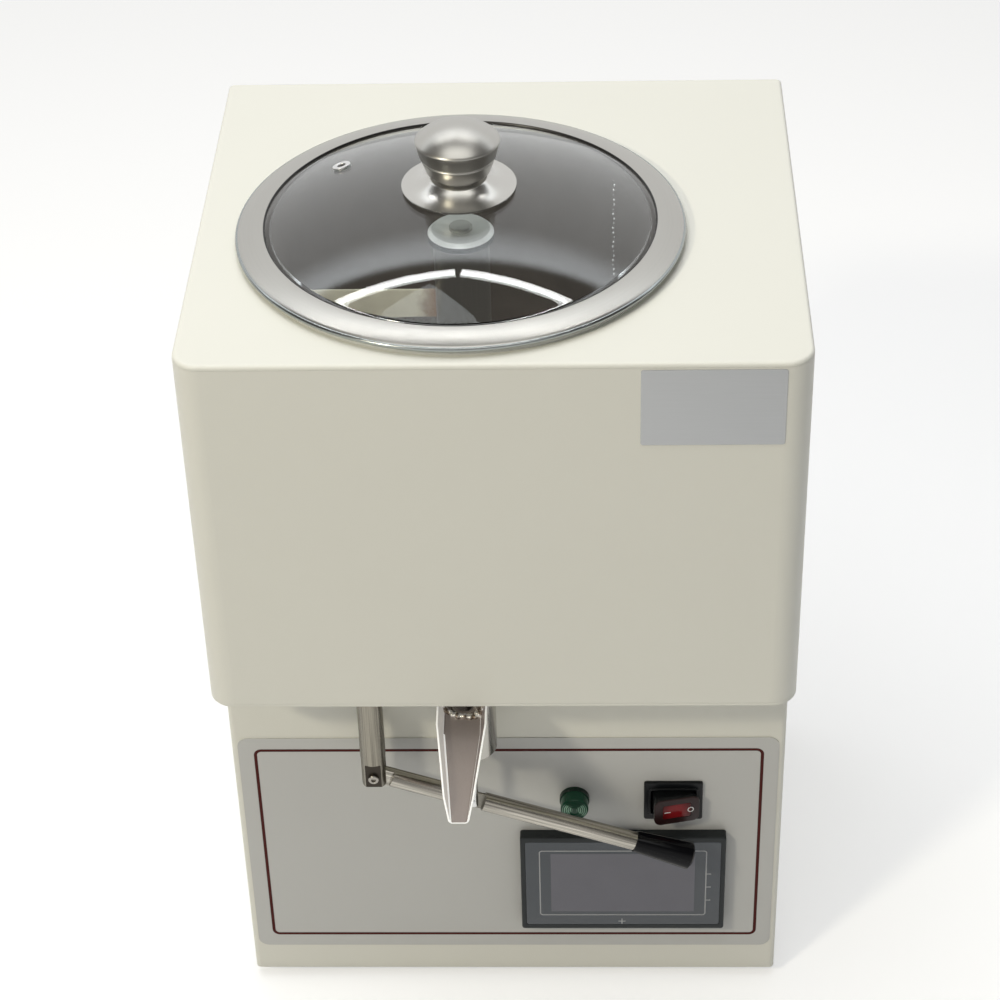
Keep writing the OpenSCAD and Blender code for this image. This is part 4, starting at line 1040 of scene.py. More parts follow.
@dataclass(frozen=True)
class Layout:
    """Places of the main forms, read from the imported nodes, in millimetres."""

    tank_x: float
    axis_y: float
    stem_y: float
    front_y: float
    face_y: float
    floor_z: float
    top_z: float

    @classmethod
    def read(cls) -> Layout:
        """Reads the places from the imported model."""
        rim = Span.of("lid_rim").middle
        return cls(
            rim.x,
            rim.y,
            Span.of("valve_stem").middle.y,
            Span.of("upper_shell").low.y,
            Span.of("front_overlay").low.y,
            Span.of("base_plate").low.z,
            Span.of("top_plate").high.z,
        )

    @property
    def axis(self) -> Place:
        """Foot of the tank's axis."""
        return (self.tank_x, self.axis_y, 0.0)

    @property
    def stem(self) -> Place:
        """Foot of the stem's line."""
        return (self.tank_x, self.stem_y, 0.0)


@dataclass
class Part:
    """Base of the sub-assemblies."""

    spot: Layout

    def build(self) -> None:
        """Builds and dresses the pieces."""
        raise NotImplementedError


@dataclass
class Cabinet(Part):
    """Folded casing, whose packed sheets stay, with the bare plate on its front."""

    plate_x: float = 81.7
    plate_z: float = 485.6
    size: tuple[float, float, float] = (80.4, 0.5, 50.4)

    def build(self) -> None:
        """Makes the blank grey plate on the upper front."""
        width, thick, height = self.size
        low = Vector((self.plate_x, self.spot.front_y - thick, self.spot.floor_z + self.plate_z))
        piece = Piece.plate("blank_plate", low, low + Vector((width, thick, height)), 1.5, 0.15)
        marks = {"line": 0.5, "depth": 0.002, "metallic": 0.6}
        grey = Metal("satin_label_foil", (0.46, 0.47, 0.48), 0.4, Grain.ALONG_X, **marks)
        piece.done(grey, "cabinet", "overlay_film")


@dataclass
class Lid(Part):
    """Steel band, glass dome, eyelet and the knob on its flared base."""

    body: str = "lid"
    rim_in: float = 115.5
    rim_out: float = 131.0
    sheet: float = 0.7
    crown: float = 0.5
    glass_t: float = 3.2
    glass_edge: float = 119.0
    margin_in: float = 110.5
    dome_rad: float = 291.03
    hole_r: float = 3.0
    vent_r: float = 5.6
    vent_bore: float = 2.5
    vent_out: float = 84.0
    vent_angle: float = 149.0
    base_r: float = 33.5
    base_top_r: float = 17.6
    base_edge: float = 1.5
    neck_r: float = 14.5
    bore_r: float = 2.05
    cap_r: float = 24.7
    cap_h: float = 10.0

    def build(self) -> None:
        """Builds and dresses the lid from its rim inwards."""
        glass = Span.of("lid_glass")
        self.low = glass.low.z
        self.dome_z = glass.high.z - math.sqrt(self.dome_rad**2 - self.hole_r**2)
        self.vent = (
            put((self.spot.tank_x, self.spot.axis_y, self.dome_z), self.vent_angle, "Z")
            @ Matrix.Rotation(math.asin(self.vent_out / self.dome_rad), 4, "Y")
            @ put((0, 0, self.dome_rad))
        )
        self.band()
        self.dome()
        self.seal()
        self.eyelet()
        self.base()
        self.knob()

    def ring(self, name: str, outline: Outline, sides: int) -> Piece:
        """Turns a closed ring on the lid's axis."""
        return Piece.turned(name, outline, sides, True).at(*self.spot.axis)

    def height(self, radius: float, reach: float) -> float:
        """Gives the height, at a distance from the axis, of a sphere about the dome's centre."""
        return self.dome_z + math.sqrt(radius**2 - reach**2)

    def shell(self, radius: float, first: float, last: float) -> list[Point]:
        """Gives the arc of such a sphere between two distances from the axis."""
        start, end = (math.degrees(math.acos(reach / radius)) for reach in (first, last))
        return arc((0, self.dome_z), radius, start, end, 30)

    def band(self) -> None:
        """Makes the brushed steel band that holds the glass."""
        rim = Span.of("lid_rim")
        crest, foot = rim.high.z, rim.low.z
        glass_z, lip, under = self.low + self.glass_t, self.low - 0.05, foot + 1.4
        wall, groove = self.rim_out - self.sheet, self.glass_edge + 0.05
        web = groove + self.sheet
        fall = (crest - under) / (self.rim_out - 0.4 - self.rim_in)
        width, drop = self.rim_out - 0.6 - self.rim_in, under - (crest - self.crown / 2)
        outline = [(self.rim_in, glass_z, 0.3)]
        for share in (step / 12 for step in range(13)):
            bulge = self.crown * 4 * share * (1 - share)
            outline.append((self.rim_in + width * share, crest - self.crown / 2 + drop * share + bulge))
        outline += [
            (self.rim_out - 0.1, under - 0.5, 0.3),
            (self.rim_out, foot, 0.2),
            (wall, foot, 0.2),
            (wall, crest - self.sheet - fall * (wall - self.rim_in)),
            (web, crest - self.sheet - fall * (web - self.rim_in)),
            (web, lip - self.sheet, 0.4),
            (self.rim_in + 1, lip - self.sheet),
            (self.rim_in + 1, lip),
            (groove, lip),
            (groove, glass_z),
        ]
        marks = {"centre": self.spot.axis, "line": 0.5, "depth": 0.010}
        steel = Metal("brushed_rim", (0.46, 0.45, 0.42), 0.31, Grain.AROUND, **marks)
        self.ring("lid_band", outline, 192).done(steel, self.body, "steel", "lid_rim", angle=40)

    def dome(self) -> None:
        """Makes the pressed glass with its flat margin."""
        inner = self.dome_rad - self.glass_t
        outline = [
            *self.shell(self.dome_rad, self.hole_r, self.rim_in - 0.05),
            (self.glass_edge, self.low + self.glass_t),
            (self.glass_edge, self.low),
            (self.margin_in, self.low),
            *self.shell(inner, self.margin_in, self.hole_r),
        ]
        drill = Piece.rod("drill", self.vent_r - 2, -9, 9).place(self.vent)
        glass = self.ring("glass_dome", outline, 160).cut(drill)
        glass.done(Pane("lid_glass_clear"), self.body, "lid_glass", "lid_glass", angle=30)

    def seal(self) -> None:
        """Makes the dark sealing lip between the band and the glass, which also stands in for the shade in
        the gap there.
        """
        low, reach = self.height(self.dome_rad, self.rim_in - 1.0) + 0.03, self.rim_in - 0.03
        outline = [
            (self.rim_in - 1.1, low, 0.15),
            (self.rim_in - 0.35, low + 1.0, 0.3),
            (reach, low + 0.9, 0.1),
            (reach, low - 0.35),
        ]
        # dark rubber lip that also paints the shade of the gap under the band
        dark = Moulded("dark_seal", (0.012, 0.011, 0.010), 0.35, 0.6, 0.004)
        self.ring("sealing_lip", outline, 160).done(dark, self.body, "rubber_black", angle=50)

    def eyelet(self) -> None:
        """Makes the rolled steel eyelet."""
        shank, under = self.vent_r - 2.2, -self.glass_t - 0.1
        outline = [
            (self.vent_bore, 0.95, 0.7),
            (self.vent_r, 0.95, 0.6),
            (self.vent_r, 0.05),
            (shank, 0.05),
            (shank, under),
            (self.vent_r, under),
            (self.vent_r, under - 0.9, 0.4),
            (self.vent_bore, under - 0.9, 0.4),
        ]
        bright = Metal("polished_eyelet", (0.72, 0.72, 0.71), 0.3, Grain.CAST, line=0.8, depth=0.002)
        piece = Piece.turned("vent_eyelet", outline, 40, True).place(self.vent)
        piece.done(bright, self.body, "steel", "vent_grommet")

    def base(self) -> None:
        """Makes the flared base, hollowed to sit on its washer."""
        top, hollow = Span.of("knob_base").high.z, self.dome_rad + 0.85
        seat = self.height(hollow, self.base_r)
        sweep, rise = self.base_r - self.base_top_r, top - seat - self.base_edge
        radius = (sweep**2 + rise**2) / (2 * rise)
        centre_z = seat + self.base_edge + radius
        end = math.degrees(math.asin((centre_z - (top - 0.5)) / radius))
        flare = arc((self.base_r, centre_z), radius, 180 + end, 270, 18)
        under = (self.base_r - 0.9, 28.0, 22.0, 16.0, 10.0, 5.0, self.bore_r)
        outline = [
            (self.bore_r, top),
            (self.base_top_r - 0.5, top),
            (self.base_top_r, top - 0.35),
            *(point for point in flare if point[1] < top - 0.4),
            (self.base_r, seat + 0.9),
            (self.base_r - 0.4, seat + 0.1),
            *((reach, self.height(hollow, reach)) for reach in under),
        ]
        steel = self.polish("polished_base", (0.54, 0.53, 0.5), 0.24, 0.002)
        self.ring("knob_flare", outline, 128).done(steel, self.body, "knob_steel", "knob_base", angle=38)

    def knob(self) -> None:
        """Turns the knob: neck, tapered foot, slanting band and domed cap."""
        box = Span.of("lid_knob")
        low, top = box.low.z, box.high.z
        foot, cap_z = low + 3.0, top - self.cap_h
        cap_rad = (self.cap_r**2 + self.cap_h**2) / (2 * self.cap_h)
        start = math.degrees(math.asin((cap_z + 0.3 - (top - cap_rad)) / cap_rad))
        outline = [
            (self.bore_r, low),
            (self.neck_r, low),
            (self.neck_r, foot),
            (18.6, foot, 0.9),
            (21.6, foot + 8.5, 0.7),
            (21.0, foot + 9.3, 0.4),
            (22.6, foot + 10.6, 0.8),
            (self.cap_r - 0.6, cap_z - 2.2, 0.5),
            (self.cap_r, cap_z - 0.4, 0.5),
            *arc((0, top - cap_rad), cap_rad, start, 90, 24),
        ]
        steel = self.polish("polished_knob", (0.47, 0.46, 0.43), 0.33, 0.006)
        knob = Piece.turned("turned_knob", outline, 128).at(*self.spot.axis)
        knob.done(steel, self.body, "knob_steel", "lid_knob", angle=38)

    def polish(self, name: str, colour: Colour, roughness: float, depth: float) -> Metal:
        """Gives the knob's polished steel with fine turning marks and a faint painted glow."""
        marks = {"line": 0.6, "depth": depth, "contrast": 0.06, "glow": 0.03}
        return Metal(name, colour, roughness, Grain.AROUND, self.spot.axis, **marks)


@dataclass
class Vessel(Part):
    """Tank with its rolled flange and middle pipe, and the stirrer in it."""

    tank_r: float = 115.0
    tank_t: float = 1.5
    bead_r: float = 1.5
    bead_x: float = 130.65
    floor_r: float = 2.0
    pipe_r: float = 11.0
    pipe_bore: float = 8.0
    outlet_r: float = 8.0
    sleeve_r: float = 16.5
    hub_r: float = 19.5
    seam_angle: float = 38.0
    low_z: float = 402.0
    blade_h: float = 17.0
    blade_t: float = 2.5

    def build(self) -> None:
        """Builds the tank and the stirrer."""
        self.tank()
        self.drops()
        self.sleeve()
        self.hub()
        self.paddles()

    def tank(self) -> None:
        """Makes the drawn tank with its flange, bead and pipe."""
        box = Span.of("tank")
        low, top = box.low.z, box.high.z - self.bead_r + self.tank_t - self.bead_r
        floor, flange, outer = low + self.tank_t, top - self.tank_t, self.tank_r + self.tank_t
        pipe_top = self.spot.top_z - 14
        outline = [
            (self.pipe_bore, low),
            (self.pipe_bore, pipe_top, 0.3),
            (self.pipe_r, pipe_top, 0.3),
            (self.pipe_r, floor, 0.8),
            (self.tank_r, floor, self.floor_r),
            (self.tank_r, top, 0.8),
            *arc((self.bead_x, flange + self.bead_r), self.bead_r, 178, -88, 14),
            (outer, flange, 0.8),
            (outer, low, self.floor_r + self.tank_t),
        ]
        tank = Piece.turned("tank_shell", outline, 160, True).at(*self.spot.axis)
        tank.cut(Piece.rod("outlet", self.outlet_r, low - 5, floor + 5).at(*self.spot.stem))
        steel = TankSteel("tank_steel", self.spot.axis, self.tank_r)
        tank.done(steel, "cabinet", "steel", "tank", angle=35)

    def drops(self) -> None:
        """Lays the drops that stand on the seam of the tank's wall, made bright by a painted highlight glow.
        """
        turn, radius = math.radians(self.seam_angle), self.tank_r - 0.3
        x, y = self.spot.tank_x + radius * math.cos(turn), self.spot.axis_y + radius * math.sin(turn)
        spots = []
        for index in range(24):
            place = (x + 0.4 * math.sin(index * 1.7), y, self.spot.top_z - 8 - index * 3.3)
            spots.append((place, 0.5 + 0.6 * abs(math.sin(index * 2.1))))
        # painted highlight: near-white drops that glow
        shine = Metal("drop_shine", (0.75, 0.76, 0.75), 0.2, Grain.CAST, line=0.8, glow=0.22)
        Piece.drops("wall_drops", 0.8, spots).done(shine, "cabinet", "steel")

    def sleeve(self) -> None:
        """Makes the stirrer's tube."""
        box, inner, outer = Span.of("stirrer_sleeve"), self.sleeve_r - 1.5, self.sleeve_r
        low, high = box.low.z, box.high.z
        outline = [(inner, low, 0.3), (inner, high), (outer, high), (outer, low, 0.3)]
        # painted glow lifts the dark sleeve inside the tank
        marks = {"line": 3.0, "contrast": 0.3, "glow": 0.35}
        steel = Metal("sleeve_steel", (0.15, 0.14, 0.125), 0.34, Grain.ALONG_Z, **marks)
        tube = Piece.turned("stirrer_tube", outline, 96, True).at(*self.spot.axis)
        tube.done(steel, "stirrer", "steel", "stirrer_sleeve")

    def hub(self) -> None:
        """Makes the hub disc and the bolt on it, with a painted highlight on the chamfer and painted shade on
        the side.
        """
        box = Span.of("hub_disc")
        low, top = box.low.z, box.high.z
        outline = [(2.05, low), (2.05, top), (self.hub_r - 2.3, top, 0.2), (self.hub_r, top - 2.2, 0.2)]
        plate = Piece.turned("hub_plate", [*outline, (self.hub_r, low, 0.3)], 96, True).at(*self.spot.axis)
        # faint painted glow on the disc's face
        bright = {"contrast": 0.2, "metallic": 0.5, "glow": 0.10}
        disc = Metal("faced_hub", (0.80, 0.81, 0.77), 0.42, Grain.ALONG_X, line=0.9, depth=0.02, **bright)
        plate.done(disc, "stirrer", "steel", "hub_disc")
        # painted highlight: near-white chamfer that glows
        marks_with_glow = {"line": 3.0, "contrast": 0.3, "metallic": 0.3, "glow": 0.32}
        edge = Metal("hub_edge", (0.85, 0.86, 0.84), 0.3, Grain.CAST, **marks_with_glow)
        plate.paint(edge, lambda place, way: 0.3 < way.z < 0.9)
        # painted shade: dark side wall under the chamfer
        wall = Metal("hub_wall", (0.10, 0.10, 0.095), 0.4, Grain.AROUND, self.spot.axis, line=0.6)
        plate.paint(wall, lambda place, way: abs(way.z) < 0.3 and place.z < top - 1)
        foot, head = Span.of("hub_bolt").low.z, top + 2.2
        shank = [(0, foot), (2, foot), (2, top)]
        outline = [*shank, (6.9, top), (6.9, head - 0.8, 0.2), (6.2, head, 0.2), (0, head)]
        # painted glow on the bolt's steel
        marks = {"centre": self.spot.axis, "line": 0.6, "glow": 0.12}
        steel = Metal("bolt_steel", (0.50, 0.50, 0.47), 0.45, Grain.AROUND, **marks)
        bolt = Piece.turned("hub_screw", outline, 48).at(*self.spot.axis)
        bolt.done(steel, "stirrer", "steel", "hub_bolt")

    def paddles(self) -> None:
        """Makes the blades, their scrapers and the weld beads at their roots."""
        x, y, _ = self.spot.axis
        floor, inner = self.low_z - 52.0, self.sleeve_r - 0.6
        half = Vector((0, self.blade_t, self.blade_h)) / 2
        blades = ((180, self.spot.top_z - 49, 98, 14), (0, self.low_z, 78, 0), (180, floor + 26.5, 78, 0))
        parts: list[Piece] = []
        for index, (turn, z, reach, lean) in enumerate(blades):
            blade = Piece.block(f"blade_{index}", Vector((inner, 0, 0)) - half, Vector((reach, 0, 0)) + half)
            blade.bevel(lambda place, way: along_y(place, way) and place.x > inner + 1, 2.5, 4).soften(0.4)
            parts.append(blade.place(put((x, y, z), turn, "Z") @ put(angle=lean)))
        for reach in (64, 38):
            low, high = Vector((x + reach, y, floor + 6)), Vector((x + reach + 12, y, self.low_z - 3))
            thick = Vector((0, half.y, 0))
            parts.append(Piece.block("scraper", low - thick, high + thick).soften(0.4))
        steel = BladeSteel("blade_steel", self.spot.axis, self.sleeve_r)
        whole = parts[0].join(*parts[1:], name="stirrer_blades")
        whole.done(steel, "stirrer", "steel", "stirrer_paddles")


@dataclass
class Valve(Part):
    """Outlet tube with its welded spout."""

    tube_r: float = 16.0
    bore_r: float = 13.0
    port_r: float = 7.5
    offset: float = -4.0
    root_z: float = 276.0
    slope: float = 10.0
    length: float = 80.0
    straight: float = 14.0
    width: float = 22.0
    lip: float = 10.0
    wall: float = 10.6
    flare: float = 3.3
    lip_cut: float = 11.3
    sheet: float = 1.2
    weld_r: float = 1.75
    wander: tuple[float, ...] = (0.0, 0.5, -0.5, 0.2, -0.7, 0.6, -0.1)

    def build(self) -> None:
        """Builds the tube, the spout and its weld."""
        self.tube()
        self.spout()
        self.bead()

    def tube(self) -> None:
        """Makes the outlet tube with its port."""
        box, (x, y, _) = Span.of("valve_tube"), self.spot.stem
        low, high, outer = box.low.z, box.high.z, self.tube_r
        outline = [(self.bore_r, low, 0.4), (self.bore_r, high), (outer, high), (outer, low, 0.8)]
        port_z = self.root_z + self.port_r + self.sheet
        port = Piece.rod("port", self.port_r, 0, 30).place(put((x + self.offset, y, port_z), 90))
        tube = Piece.turned("outlet_tube", outline, 96, True).at(x, y).cut(port)
        marks = {"centre": self.spot.stem, "line": 0.5, "depth": 0.005}
        steel = Metal("tube_steel", (0.46, 0.445, 0.41), 0.2, Grain.AROUND, **marks)
        tube.done(steel, "cabinet", "steel", "valve_tube")
        # painted shade: the bore's faces are dark brown, with a painted glow
        inside = Metal("tube_inside", (0.22, 0.19, 0.165), 0.5, Grain.CAST, line=1.5, metallic=0.3, glow=0.16)
        inner, foot = outer - 0.3, self.root_z - 5
        tube.paint(inside, lambda place, way: math.hypot(place.x - x, place.y - y) < inner and foot < place.z)

    def spout(self) -> None:
        """Folds the tapering channel from one sheet, with painted highlights on its edges and folds and
        painted light on its left wall's inside.
        """
        narrow, front, end = (self.lip - self.width) / 2, -self.straight, -self.length
        sheet = Piece.add("pouring_spout", bpy.ops.mesh.primitive_plane_add, size=MM)
        sheet.place(Matrix.Diagonal((self.width, self.tube_r + self.straight, 1, 1)))
        sheet.at(0, (self.tube_r - self.straight) / 2)
        sheet.extrude(lambda spot, way: abs(spot.y - front) < SLACK and abs(way.x) > 0.9, (0, end - front, 0))
        for side in (-1, 1):
            move = (side * narrow, 0, 0)
            sheet.shift(lambda spot, way: abs(spot.y - end) < SLACK and spot.x * side > 0, move)
        for side in (-1, 1):
            fold = (side * self.flare, 0, self.wall)
            sheet.extrude(lambda spot, way: spot.x * side > 1 and abs(way.x) < 0.5, fold)
        sheet.shift(lambda spot, way: spot.z > 1 and spot.y < end + 0.1, (0, self.lip_cut, 0))
        with sheet.editing(Pick.FACE):
            bpy.ops.mesh.normals_make_consistent(inside=False)
        sheet.bevel(lambda spot, way: abs(spot.z) < SLACK and abs(way.x) < 0.5 and abs(spot.x) > 2, 1.2, 4)
        floor = next(face for face in sheet.obj.data.polygons if abs(face.normal.z) > 0.9)
        below = 1.0 if floor.normal.z < 0 else -1.0
        sheet.modify("SOLIDIFY", thickness=self.sheet * MM, offset=below, use_even_offset=True)
        sheet.soften(0.3, 2, 50)
        laid = put((self.spot.tank_x + self.offset, self.spot.front_y + 20, self.root_z), self.slope)
        sheet.place(laid).cut(Piece.rod("tool", self.tube_r, 230, 345, 64).at(*self.spot.stem))
        with sheet.editing(Pick.FACE, lambda spot, way: spot.y > self.spot.stem_y - self.tube_r / 3):
            bpy.ops.mesh.delete(type="FACE")
        # painted glow evens out the spout's shaded floor
        marks_with_glow = {"line": 0.5, "contrast": 0.12, "metallic": 0.6, "glow": 0.13}
        steel = Metal("spout_steel", (0.315, 0.275, 0.258), 0.46, Grain.ALONG_Y, **marks_with_glow)
        sheet.done(steel, "cabinet", "steel", "spout")
        # painted highlight: near-white glowing edges, folds and lip
        edge_glow = {"line": 0.5, "depth": 0.002, "metallic": 0.2, "glow": 0.38}
        edge_highlight = Metal("ground_edge", (0.93, 0.93, 0.90), 0.42, Grain.CAST, **edge_glow)
        tip = end + self.lip_cut + 1
        sheet.paint(
            edge_highlight,
            lambda spot, way: (way.z > 0.35 and spot.z > 0.8)
            or (way.y < -0.5 and spot.y < tip)
            or (0.3 < way.x < 0.93 and way.z > 0.35 and spot.y < -3 and spot.x < 0),
            laid,
        )
        # painted light: the left wall's inside is lighter and glows
        lit_wall = Metal("spout_wall", (0.62, 0.60, 0.56), 0.4, Grain.ALONG_Y, line=0.5, metallic=0.5, glow=0.4)
        sheet.paint(lit_wall, lambda spot, way: way.x > 0.93 and spot.x < 0 and spot.z > 0.5, laid)

    def bead(self) -> None:
        """Lays the lumpy weld where the spout meets the tube."""
        rise, half, radius = math.tan(math.radians(self.slope)), self.width / 2, 1.6 * self.tube_r
        shares = [step / 6 for step in range(7)]
        route = [(-half - self.flare * (1 - share), self.wall * (1 - share)) for share in shares]
        route += [(-half + self.width * step / 14, 0.0) for step in range(1, 14)]
        route += [(half + self.flare * share, self.wall * share) for share in shares]
        spots = []
        for index, (x, z) in enumerate(route):
            across = x + self.offset
            sag = radius - math.sqrt(radius**2 - across**2) + self.wander[index % len(self.wander)]
            y = self.spot.stem_y - self.tube_r - 0.6 + sag
            up = self.root_z + z + 0.4 - (self.spot.front_y + 20 - y) * rise
            spots.append(((self.spot.tank_x + across, y, up), 1 + 0.22 * math.sin(index * 2.4)))
        bead = Piece.drops("spout_weld", self.weld_r, spots)
        bead.modify("REMESH", mode="VOXEL", voxel_size=0.35 * MM).modify("SMOOTH", factor=0.6, iterations=3)
        bead.done(Weld("weld_bead"), "cabinet", "steel")


@dataclass
class Lever(Part):
    """Post, pivot screw, steel bar with its shoulder and flats, and the grip."""

    post_x: float = -84.0
    pivot_z: float = 214.8
    deck_z: float = 302.0
    post_r: float = 8.0
    stud_r: float = 2.95
    bar_r: float = 6.0
    shoulder: float = 11.5
    tongue: float = 2.2
    reach: float = 176.0
    rest: float = 20.2
    flats: tuple[float, float] = (58.3, 73.2)
    grip_len: float = 40.0
    grip_r: float = 9.1
    crown_r: float = 6.4

    def build(self) -> None:
        """Builds the lever with what it turns on."""
        self.laid = put((self.post_x, self.spot.stem_y, self.pivot_z), self.rest, "Y")
        self.along = put(angle=90, axis="Y")
        self.post()
        self.screw()
        self.bar()
        self.grip()

    def post(self) -> None:
        """Makes the post with its slot, milled window and cross bore."""
        box, x, y = Span.of("lever_post"), self.post_x, self.spot.stem_y
        low, top = box.low.z, box.high.z
        outline = [
            (0, low),
            (self.post_r, low, 1.0),
            (self.post_r, self.deck_z, 0.2),
            (self.stud_r, self.deck_z),
            (self.stud_r, top, 0.3),
            (0, top),
        ]
        post = Piece.turned("turned_post", outline, 64).at(x, y)
        slot = Piece.block("slot", (x - 16, y - 2.5, low - 1), (x + 16, y + 2.5, low + 22.5))
        window = Piece.block("window", (x - 4.96, y - 16, low - 1), (x + 4.96, y - 5.6, low + 19.5))
        window.bevel(lambda place, way: along_y(place, way) and place.z > low + 5, 1.2, 4)
        bore = Piece.rod("bore", 2, -12, 12).place(put((x, y, self.pivot_z), 90))
        post.cut(slot, window, bore).soften(0.15, 1, 50)
        marks = {"line": 2.2, "depth": 0.006, "contrast": 0.34}
        steel = Metal("post_steel", (0.245, 0.228, 0.190), 0.28, Grain.ALONG_Z, **marks)
        post.done(steel, "cabinet", "steel", "lever_post")
        # painted shade: the window's faces are near black
        post.paint(
            Metal("milled_window", (0.050, 0.043, 0.036), 0.38, Grain.ALONG_X, line=0.4, depth=0.01),
            lambda place, way: abs(place.x - x) < 5 and y - 8 < place.y < y - 2 and place.z < low + 20,
        )

    def screw(self) -> None:
        """Makes the socket screw in the window."""
        box = Span.of("pivot_screw")
        end = box.high.y - box.low.y
        shank = [(0, end), (2, end), (2, 2.2)]
        head = [(3.4, 2.2, 0.1), (3.4, 0, 0.9), (1.5, 0, 0.2), (1.5, 1.2), (0, 1.2)]
        piece = Piece.turned("button_screw", shank + head, 48)
        piece.place(put((self.post_x, box.low.y, self.pivot_z), -90))
        dull = Metal("dull_screw", (0.33, 0.31, 0.28), 0.24, Grain.CAST, line=0.6)
        piece.clean().done(dull, "cabinet", "zinc_screws", "pivot_screw")

    def bar(self) -> None:
        """Turns the bar, mills its flats and gives it its tongue."""
        radius, thick, end = self.bar_r, self.tongue, self.reach + 20
        outline = [(0, self.shoulder), (radius, self.shoulder, 0.6), (radius, end), (0, end)]
        bar = Piece.turned("lever_rod", outline, 64).place(self.along)
        outline = [(0, -thick), (radius, -thick, 0.3), (radius, thick, 0.3), (0, thick)]
        tongue = Piece.turned("tongue", outline, 48).place(put(angle=90))
        web = Piece.block("web", (0, -thick, -radius), (self.shoulder + 1, thick, radius))
        bar.fuse(tongue.fuse(web))
        for low, high in ((-9.0, -0.95), (0.95, 9.0)):
            flat = Piece.block("flat", (self.flats[0], low, -9), (self.flats[1], high, 9))
            flat.bevel(lambda place, way: abs(way.z) > 0.99 and abs(place.y) > 5, 0.5, 2)
            bar.cut(flat)
        arm = self.spot.tank_x - self.post_x
        far = arm / math.cos(math.radians(self.rest))
        slot = Piece.block("slot", (arm - 2.15, -9, -1.55), (far + 2.15, 9, 1.55)).bevel(along_y, 1.5, 6)
        bar.cut(slot, Piece.rod("bore", 2.05, -9, 9).place(put(angle=90))).soften(0.15, 1, 50)
        marks = {"line": 2.2, "depth": 0.010, "contrast": 0.5, "lean": self.rest}
        steel = Metal("lever_steel", (0.46, 0.435, 0.385), 0.21, Grain.ALONG_X, **marks)
        bar.place(self.laid).done(steel, "lever", "steel", "lever_bar")
        dark, (first, last) = Metal("milled_flat", (0.20, 0.19, 0.165), 0.3, Grain.CAST, line=0.5), self.flats
        bar.paint(dark, lambda place, way: first - 0.2 < place.x < last + 0.2, self.laid)

    def grip(self) -> None:
        """Makes the flaring black grip."""
        start, end = self.reach, self.reach + self.grip_len
        outline = [
            (self.bar_r, start),
            (self.bar_r + 0.8, start, 0.7),
            (self.grip_r, end - 2.2, 0.8),
            (self.crown_r, end - 0.5, 3.0),
            (0, end),
        ]
        grip = Piece.turned("black_handle", outline, 64).place(self.along).place(self.laid)
        grip.done(GRIP, "lever", "grip_black", "lever_grip", angle=40)


